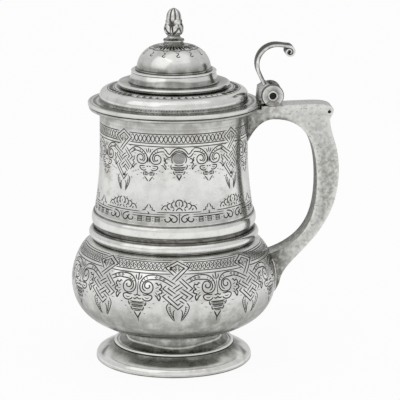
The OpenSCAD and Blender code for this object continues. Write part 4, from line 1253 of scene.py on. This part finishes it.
def leafShell(rings, count, turn, wide, thick, tarnishAndShade, flare=0.0, cuts=14, rows=24):
    # leaves laid over a turned shape, each a closed shell with a raised rib
    prof = np.array(rings, float)
    run = lengths(prof)
    run /= run[-1]
    verts, faces, shade = [], [], []
    w = cuts + 1
    size = (rows + 1) * w
    for k in range(count):
        base = len(verts)
        mid = 2 * math.pi * (k + turn) / count
        for side in (0, 1):
            for j in range(rows + 1):
                t = j / rows
                r, z = np.interp(t, run, prof[:, 0]), np.interp(t, run, prof[:, 1])
                for i in range(w):
                    s = 2 * i / cuts - 1
                    dark = tarnishAndShade(t, abs(s))
                    swell = thick * (0.25 + 0.75 * (1 - s * s)) * (1 - 0.4 * t ** 4)
                    swell = swell + flare * t ** 3 - 0.22 * thick * dark
                    rr = max(0.02, r + (swell if side == 0 else -0.35))
                    a = mid + s * wide(t)
                    verts.append((rr * math.cos(a) * mm, rr * math.sin(a) * mm, z * mm))
                    shade.append(0.95 if side else dark)

        def at(side, j, i):
            return base + side * size + j * w + i

        for j in range(rows):
            for i in range(cuts):
                faces.append((at(0, j, i), at(0, j, i + 1), at(0, j + 1, i + 1), at(0, j + 1, i)))
                faces.append((at(1, j, i), at(1, j + 1, i), at(1, j + 1, i + 1), at(1, j, i + 1)))
            for i in (0, cuts):
                quad = (at(0, j, i), at(0, j + 1, i), at(1, j + 1, i), at(1, j, i))
                faces.append(quad if i == 0 else quad[::-1])
        for j in (0, rows):
            for i in range(cuts):
                quad = (at(0, j, i), at(1, j, i), at(1, j, i + 1), at(0, j, i + 1))
                faces.append(quad if j == 0 else quad[::-1])
    return verts, faces, shade


def makeFinial():
    spool = bez((6.0, 191.6), (4.4, 192.1), (3.7, 192.6), (3.6, 193.8), 8)
    cup = bez((3.7, 193.8), (6.1, 195.0), (6.6, 198.2), (4.9, 201.2), 12)
    cone = bez((4.3, 201.4), (4.6, 205.2), (3.9, 208.8), (0.7, 209.7), 14)
    core = [(0.02, 191.2), (6.0, 191.2)] + spool + [(r - 0.75, z) for r, z in cup[1:]]
    core += [(r - 0.55, z - 0.2) for r, z in cone] + [(0.02, 209.4)]
    piece = spunPiece("finial_bud_cast", joined(core), smallSteps)
    # painted shade on the core, which shows only between the leaves
    paintShadeAndTarnish(piece, byHeight([191.2, 191.6, 191.9, 192.5, 193.3, 194.0, 210], [1, 0.9, 0.45, 0.4, 0.7, 1, 1]))
    turn = budLook["turn"]
    quarter = math.pi / 4

    def veins(t, s):        # one slanting vein on each half of a broad leaf, with painted shade along its edge, at its root and in a notch at its tip
        away = abs(s - 0.62 + 1.5 * (t - 0.30))
        length = np.interp(t, [0.16, 0.22, 0.70, 0.76], [0, 1, 1, 0])
        vein = 0.98 * np.interp(away, [0.15, 0.27], [1, 0]) * length
        notch = 0.98 * np.interp(t + 0.9 * (s - 0.5) ** 2, [0.93, 0.98], [0, 1])
        return max(vein, notch, np.interp(s, [0.84, 0.93], [0, 0.98]), np.interp(t, [0.05, 0.1], [0.98, 0]))

    # half the angle a leaf takes, and how dark it is painted (shade at its edges and root), at t of its
    # length and s of its half width
    def broadHalf(t):
        return quarter * (0.84 if t < 0.7 else max(0.06, 0.84 - 0.7 * ((t - 0.7) / 0.3) ** 1.7))

    def narrowHalf(t):
        return quarter * max(0.02, 0.40 * (1 - t / 0.85))

    def narrowDark(t, s):
        return max(np.interp(s, [0.35, 0.6], [0, 0.98]), np.interp(t, [0.05, 0.1], [0.98, 0]))

    def lobeHalf(t):
        return quarter * (0.80 if t < 0.5 else max(0.1, 0.80 - ((t - 0.5) / 0.5) ** 2 * 0.65))

    def lobeDark(t, s):
        return max(np.interp(s, [0.55, 0.8], [0.1, 0.98]), np.interp(t, [0.84, 0.94], [0, 0.98]))

    def petalHalf(t):
        return quarter * 0.5 * (0.98 if t < 0.85 else 0.98 - (t - 0.85) * 1.6)

    def petalDark(t, s):
        sides, root = np.interp(s, [0.52, 0.74], [0, 0.98]), np.interp(t, [0.08, 0.26], [0.98, 0])
        return max(sides, root, 0.4 * (t > 0.97))

    seat = [(r - 0.75, z) for r, z in cup]
    broad = leafShell(seat, 4, turn, broadHalf, 0.85, veins, 0.3, 32, 48)
    narrow = leafShell([(r - 0.1, z) for r, z in seat], 4, turn + 0.5, narrowHalf, 0.9, narrowDark)
    lobes = leafShell([(4.3, 200.6), (4.4, 202.2), (3.8, 203.9)], 4, turn, lobeHalf, 0.75, lobeDark)
    petals = leafShell([(r - 0.55, z) for r, z in cone], 8, 0.71, petalHalf, 0.62, petalDark)
    verts, faces, shade = [], [], []
    for v, f, s in (broad, narrow, lobes, petals):
        faces += [tuple(i + len(verts) for i in q) for q in f]
        verts += v
        shade += s
    leaves = meshPiece("finial_leaves", verts, faces)
    paintLayer(leaves, "shadeAndPatina", np.array(shade))
    pickOnly(leaves)
    bpy.ops.object.mode_set(mode="EDIT")
    closeUp(leaves, degrees=40)
    joinOnto(piece, leaves)
    dress(piece, "lid", "silver_cast", "finial_bud")


makeFinial()
print("lid raised and finial cast")


# handle
handleLook = dict(half=7.5, bevel=0.45, ventX=90.6, ventZ=148.75, ventR=0.98, grid=1.7)


def wallX(z):        # where the handle ends, just inside the vessel's wall
    if z > 91:
        return barrelR(z) - 0.95
    p = np.array(bowlOuter[::-1])
    return float(np.interp(z, p[:, 1], p[:, 0])) - 0.75


def lineAt(line, shares):        # points at shares of a line's length
    p = np.array(line)
    run = lengths(p)
    return np.stack([np.interp(shares * run[-1], run, p[:, k]) for k in (0, 1)], 1)


def makeHandle():
    outer = joined([(42.45, 150.7), (50.6, 150.7), (50.6, 152.58), (80, 153.35)],
                   bez((80, 153.35), (100.2, 153.88), (91.4, 146.4), (91.1, 144.25), 16),
                   bez((91.1, 144.25), (91.67, 133.45), (96.78, 129.4), (96.78, 113.02), 14),
                   bez((96.78, 113.02), (96.78, 73.45), (65.2, 62.6), (62.6, 47.6), 28),
                   bez((62.6, 47.6), (62.0, 44.4), (59.8, 41.0), (57.4, 37.4), 6))
    inner = joined(bez((38, 122.05), (40.16, 122.05), (44.43, 144.65), (58.1, 144.65), 40),
                   bez((58.1, 144.65), (77.8, 144.65), (83.7, 129.4), (83.7, 106.98), 40),
                   bez((83.7, 106.98), (83.7, 82.2), (76.0, 69.45), (52, 62.3), 50))
    inner = [q for q in inner if q[0] > wallX(q[1]) + 0.35]
    outer = [q for q in thinned(outer, 0.02, 3.0) if q[1] > 100 or q[0] > wallX(q[1]) + 0.35]
    inner = [tuple(q) for q in thinned(inner, 0.02, 3.0)]
    # both ends sit in the wall
    low = [(wallX(z), float(z)) for z in np.linspace(outer[-1][1], inner[-1][1], 12)]
    high = [(wallX(z), float(z)) for z in np.linspace(inner[0][1], 150.7, 12)]
    half = handleLook["half"]
    outline = [tuple(q) for q in outer] + low + inner[::-1] + high[:-1]
    piece = slabPiece("handle_hollow", outline, -half, half, handleLook["bevel"], 4)
    vent = np.array((handleLook["ventX"], handleLook["ventZ"]))
    drill(piece, (vent[0], -half, vent[1]), handleLook["ventR"], 6, 32)
    grid = handleLook["grid"]
    addRows(piece, ((1, 0, 0), np.arange(44.5, 96, grid)), ((0, 0, 1), np.arange(39.5, 152, grid)))
    lines = np.vstack([lineAt(outer, np.linspace(0, 1, 400)), lineAt(inner, np.linspace(0, 1, 400))])
    under = np.array(inner)

    def dark(r, z, x, y):
        place = np.stack([x, z], 1)
        inset = gapsTo(place, lines).min(1)
        out = np.interp(inset, [0, 0.9, 3.5], [0.0, 0.04, 0.34])        # worn bright along the edges
        out = out * np.interp(z, [36, 60, 80, 110, 140, 153], [1.2, 1.1, 1.3, 1.3, 0.8, 0.35])
        away = gapsTo(place, under).min(1)
        strap = (away < 1.3) & (np.abs(y) < half - 0.4)
        # painted shade on the inner strap, deepening towards the top
        out = np.where(strap, np.interp(z, [60, 76, 90, 115, 142], [0.32, 0.48, 0.78, 0.95, 0.75]), out)
        # painted shade along the far edge of the inner face and under the arch
        out = np.where((away < 1.3) & (y > half - 0.5), 0.97, out)
        arch = np.interp(x, [43, 50, 66, 74], [0.95, 0.9, 0.8, 0.0]) * (z > 125)
        out = np.maximum(out, arch * np.interp(away, [0, 1.0, 2.0], [1.0, 1.0, 0.0]))
        # painted shade near the barrel under the lid
        out = np.maximum(out, np.interp(x, [43, 48, 56, 68], [0.85, 0.66, 0.34, 0.0]) * (z > 120))
        # darker towards its foot on the bowl
        out = np.maximum(out, np.interp(x, [58, 63, 69, 76], [0.97, 0.80, 0.36, 0.0]) * (z < 78) * ~strap)
        # painted shade inside the bored vent
        bored = np.hypot(x - vent[0], z - vent[1]) < handleLook["ventR"] + 0.05
        return np.where(bored & (y < -2), np.where(y < -7, 0.1, 1.0), out)

    paintShadeAndTarnish(piece, dark)
    walls = np.array(bowlOuter[::-1])
    for y in (-half - 0.05, half + 0.05):        # a bright line of solder where its foot meets the bowl
        path = []
        for z in np.linspace(61.5, 39.5, 15):
            r = float(np.interp(z, walls[:, 1], walls[:, 0]))
            sink = float(np.interp(z, [39.5, 43.0, 59.0, 61.5], [-0.45, 0.1, 0.1, -0.45]))
            path.append((math.sqrt(r * r - y * y) + sink, y, float(z)))
        bead = startPoint("solder", path[0])
        drawOn(path)
        bpy.ops.object.mode_set(mode="OBJECT")
        bpy.ops.object.convert(target="CURVE")
        bead.data.bevel_depth = 0.42 * mm
        bead.data.bevel_resolution = 3
        bead.data.use_fill_caps = True
        bpy.ops.object.convert(target="MESH")
        smoothBy(bead, 60)
        paintShadeAndTarnish(bead, lambda r, z, x, y: 0.0 * r)
        joinOnto(piece, bead)
    dress(piece, "vessel", "silver_handle", "handle_near_side", "handle_far_side", "handle_inner_strap",
          "handle_back_strap", "handle_top_plate")


makeHandle()


# hinge and thumbpiece
hingeLook = dict(x=57.2, z=158.7, bore=1.95, lug=4.7, room=5.0, inner=6.2, outer=8.1, steps=72)
thumbLook = dict(tilt=25, root=(52.7, 165.0), stem=7.4, bow=11.3, scroll=3.05, turns=44, half=6.0, bevel=0.3,
                 rows=(-4.9, -4.5, 4.5, 4.9))        # rows: the margins of the strap that are left bright between painted shade


def makeThumbpiece():
    tilt = math.radians(thumbLook["tilt"])
    root = np.array(thumbLook["root"])
    rise = np.array((-math.sin(tilt), math.cos(tilt)))
    bowR, scrollR, turns = thumbLook["bow"], thumbLook["scroll"], thumbLook["turns"]
    bowC = root + thumbLook["stem"] * rise + bowR * np.array((math.cos(tilt), math.sin(tilt)))
    bowTop = bowC + (0, bowR)
    scrollC = bowC + (7.3, bowR - scrollR - 0.7)
    scrollTop = scrollC + (0, scrollR)
    line = [tuple(root)] + ovalArc(bowC[0], bowC[1], bowR, bowR, 205, 90, 22)
    line += bez(tuple(bowTop), tuple(bowTop + (2.7, 0)), tuple(scrollTop - (2.3, 0)), tuple(scrollTop), 6)[1:]
    for i in range(1, turns + 1):
        a = math.radians(90 - 540 * i / turns)
        line.append(tuple(scrollC + (scrollR - 2.25 * i / turns) * np.array((math.cos(a), math.sin(a)))))
    p = np.array(line)
    t = headings(p)
    side = np.stack([-t[:, 1], t[:, 0]], 1)
    half = np.interp(np.arange(len(p)), [0, 3, 16, 24, len(p) - 1], [1.05, 1.0, 0.8, 0.75, 0.3])[:, None]
    loop = [tuple(q) for q in p + side * half] + [tuple(q) for q in (p - side * half)[::-1]]
    reach = thumbLook["half"]
    piece = slabPiece("thumbpiece_scrolled", loop, -reach, reach, thumbLook["bevel"], 2)
    addRows(piece, ((0, 1, 0), thumbLook["rows"]))

    def dark(r, z, x, y):        # painted shade on the face and edges, with bare bright margins between them and a bare bright roll
        d = np.hypot(x - scrollC[0], z - scrollC[1])
        place = np.stack([x, z], 1)
        k = gapsTo(place, p).argmin(1)
        within = ((place - p[k]) * side[k]).sum(1) < 0        # the painted shade on the edge grows towards the inside of the bow
        edge = np.interp(d, [3.1, 3.736], [0.04, 1.0]) * within
        return np.where(np.abs(y) < 4.6, 1.0, np.where(np.abs(y) > 5.6, edge, 0.0))

    paintShadeAndTarnish(piece, dark)
    dress(piece, "lid", "silver_cast", "thumbpiece")


def makeHinge():
    x, z, lug, room = (hingeLook[key] for key in ("x", "z", "lug", "room"))
    face = [(1.93, 6.2), (6.6, 6.2, 0.15), (6.6, 8.0, 0.2), (6.1, 8.45, 0.25), (3.0, 8.55, 0.1),
            (2.75, 8.8, 0.12), (2.2, 8.8, 0.12), (1.93, 8.55)]
    foot = [(54.2, 152.67), (63.2, 152.92), (61.3, 153.6), (60.5, 155.2), (60.3, 156.2), (54.2, 156.2)]
    for name, side in (("near", -1), ("far", 1)):
        loop = softened([(p[0], side * p[1]) + tuple(p[2:]) for p in face])
        piece = spunPiece("hinge_%s_turned" % name, joined(loop), hingeLook["steps"], "y", (x, 0, z))
        reach = sorted((side * hingeLook["inner"], side * hingeLook["outer"]))
        joinOnto(piece, slabPiece("web", foot, *reach, 0.15, 2))

        # painted shade and bare bright rings on the disc face; painted shade on the web and on the inner face
        # by the lug
        def dark(r, zz, xx, yy):
            d = np.hypot(xx - x, zz - z)
            out = np.interp(d, [1.95, 2.1, 2.3, 2.75, 2.95, 3.3, 5.3, 5.6, 6.0, 6.15],
                            [1, 0.6, 0.02, 0.1, 0.8, 0.52, 0.48, 0.02, 0.05, 0.95])
            return np.where(zz < 154.4, 0.8, np.where(np.abs(yy) < 6.3, 0.9, out))

        paintShadeAndTarnish(piece, dark)
        dress(piece, "vessel", "silver_cast", "hinge_%s_disc" % name)

    arc = ovalArc(x, z, lug, lug, 90, -90, 16)
    cheek = [(50.35, 153.6), (50.35, 155.5), (48.5, 155.55), (49.3, 163.0), (51.25, 164.32),
             (54.15, 165.68)] + arc
    piece = slabPiece("lid_lug_cast", joined(cheek), -5.9, 5.9, 0.35, 2)
    slot = joined(ovalArc(x, z, room, room, 180, 0, 16),
                  [(x + room, z - 9.4), (x - 2.7, z - 9.4), (x - 2.7, z - 4.3)],
                  ovalArc(x, z, room, room, 238, 180, 6))
    boreOut(piece, slabPiece("slot", slot, -2.3, 2.3, 0.02, 1))
    drill(piece, (x, 0, z), hingeLook["bore"], 20, 40)

    # painted shade on the lug's faces and low down under the lid, with bare bright margins at its edges
    def lugDark(r, zz, xx, yy):
        d = np.hypot(xx - x, zz - z)
        out = np.where(np.abs(yy) > 5.75, 0.45, np.where(np.abs(yy) > 5.4, 0.05, 0.35))
        return np.maximum(out, np.interp(zz, [153, 156, 158], [0.95, 0.8, 0.3]) * (d > 4.2))

    paintShadeAndTarnish(piece, lugDark)
    dress(piece, "lid", "silver_cast", "lid_lug")


makeThumbpiece()
makeHinge()
keepNode("hinge_centre_knuckle", "silver_cast")
keepNode("hinge_pin", "silver_oxidised")
print("handle, hinge and thumbpiece set")


# floor, light and camera
stageLook = dict(floor=6.0, glow=0.93, world=0.84, paper=(0.86, 0.86, 0.855, 1), light=(1.0, 1.0, 1.0, 1),
                 cameraPlace=(-0.0915, -1.3086, 0.40306), pitch=13.193, turn=-4.0, lens=205.6, shift=0.0655,
                 sensor=36, clip=20)


def seenRays(tree):        # one for what the camera sees, straight or in the silver
    seen = node(tree, "LightPath", "Is Camera Ray", {})
    for name in ("Is Glossy Ray", "Is Transmission Ray"):
        seen = sums(tree, "MAXIMUM", seen, node(tree, "LightPath", name, {}))
    return seen


def makeStage():
    bpy.ops.object.select_all(action="DESELECT")
    bpy.ops.mesh.primitive_plane_add(size=stageLook["floor"], location=(0, 0.6, 0))
    floor = bpy.context.object
    floor.name = "floor"
    mat = bpy.data.materials.new("pale_floor")
    mat.use_nodes = True
    tree = mat.node_tree
    tree.nodes.clear()
    out = tree.nodes.new("ShaderNodeOutputMaterial")
    paper = node(tree, "BsdfDiffuse", "BSDF", {"Color": stageLook["paper"]})
    glow = node(tree, "Emission", "Emission", {"Color": stageLook["light"]})
    amount = sums(tree, "MULTIPLY", seenRays(tree), stageLook["glow"])
    mix = node(tree, "MixShader", "Shader", {"Fac": amount, 1: paper, 2: glow})
    tree.links.new(mix, out.inputs["Surface"])
    floor.data.materials.append(mat)

    world = bpy.data.worlds.new("studio")
    bpy.context.scene.world = world
    world.use_nodes = True
    tree = world.node_tree
    back = tree.nodes["Background"]
    upward = node(tree, "SeparateXYZ", "Z", {"Vector": node(tree, "TexCoord", "Generated", {})})
    overhead = ramp(tree, upward, 0.25, 0.95, 0.88, 1.0)        # the tent is a little darker overhead
    aside = node(tree, "Math", "Value", {0: upward.node.outputs["X"]}, operation="ABSOLUTE")
    flank = ramp(tree, aside, 0.45, 0.95, 0.84, 1.0)        # and to both sides
    tree.links.new(sums(tree, "MULTIPLY", overhead, flank), back.inputs["Color"])
    back.inputs["Strength"].default_value = stageLook["world"]

    lamps = {
        "softbox_left": dict(place=(-1.3, -0.9, 1.4), size=2.0, watts=5.0),
        "softbox_top": dict(place=(0.3, -0.6, 1.9), size=2.0, watts=3.0),
    }
    for name, lamp in lamps.items():
        light = bpy.data.lights.new(name, "AREA")
        light.size = lamp["size"]
        light.energy = lamp["watts"]
        obj = bpy.data.objects.new(name, light)
        obj.location = lamp["place"]
        aim = Vector((0, 0, 0.1)) - Vector(lamp["place"])
        obj.rotation_euler = aim.to_track_quat("-Z", "Y").to_euler()
        bpy.context.scene.collection.objects.link(obj)

    cam = bpy.data.cameras.new("photo_camera")
    cam.lens = stageLook["lens"]
    cam.sensor_width = stageLook["sensor"]
    cam.shift_x = stageLook["shift"]
    cam.clip_end = stageLook["clip"]
    view = bpy.data.objects.new("photo_camera", cam)
    view.location = stageLook["cameraPlace"]
    view.rotation_euler = (math.radians(90 - stageLook["pitch"]), 0, math.radians(stageLook["turn"]))
    bpy.context.scene.collection.objects.link(view)
    bpy.context.scene.camera = view
    bpy.context.scene.view_settings.view_transform = "Standard"


makeStage()
print("stage set")
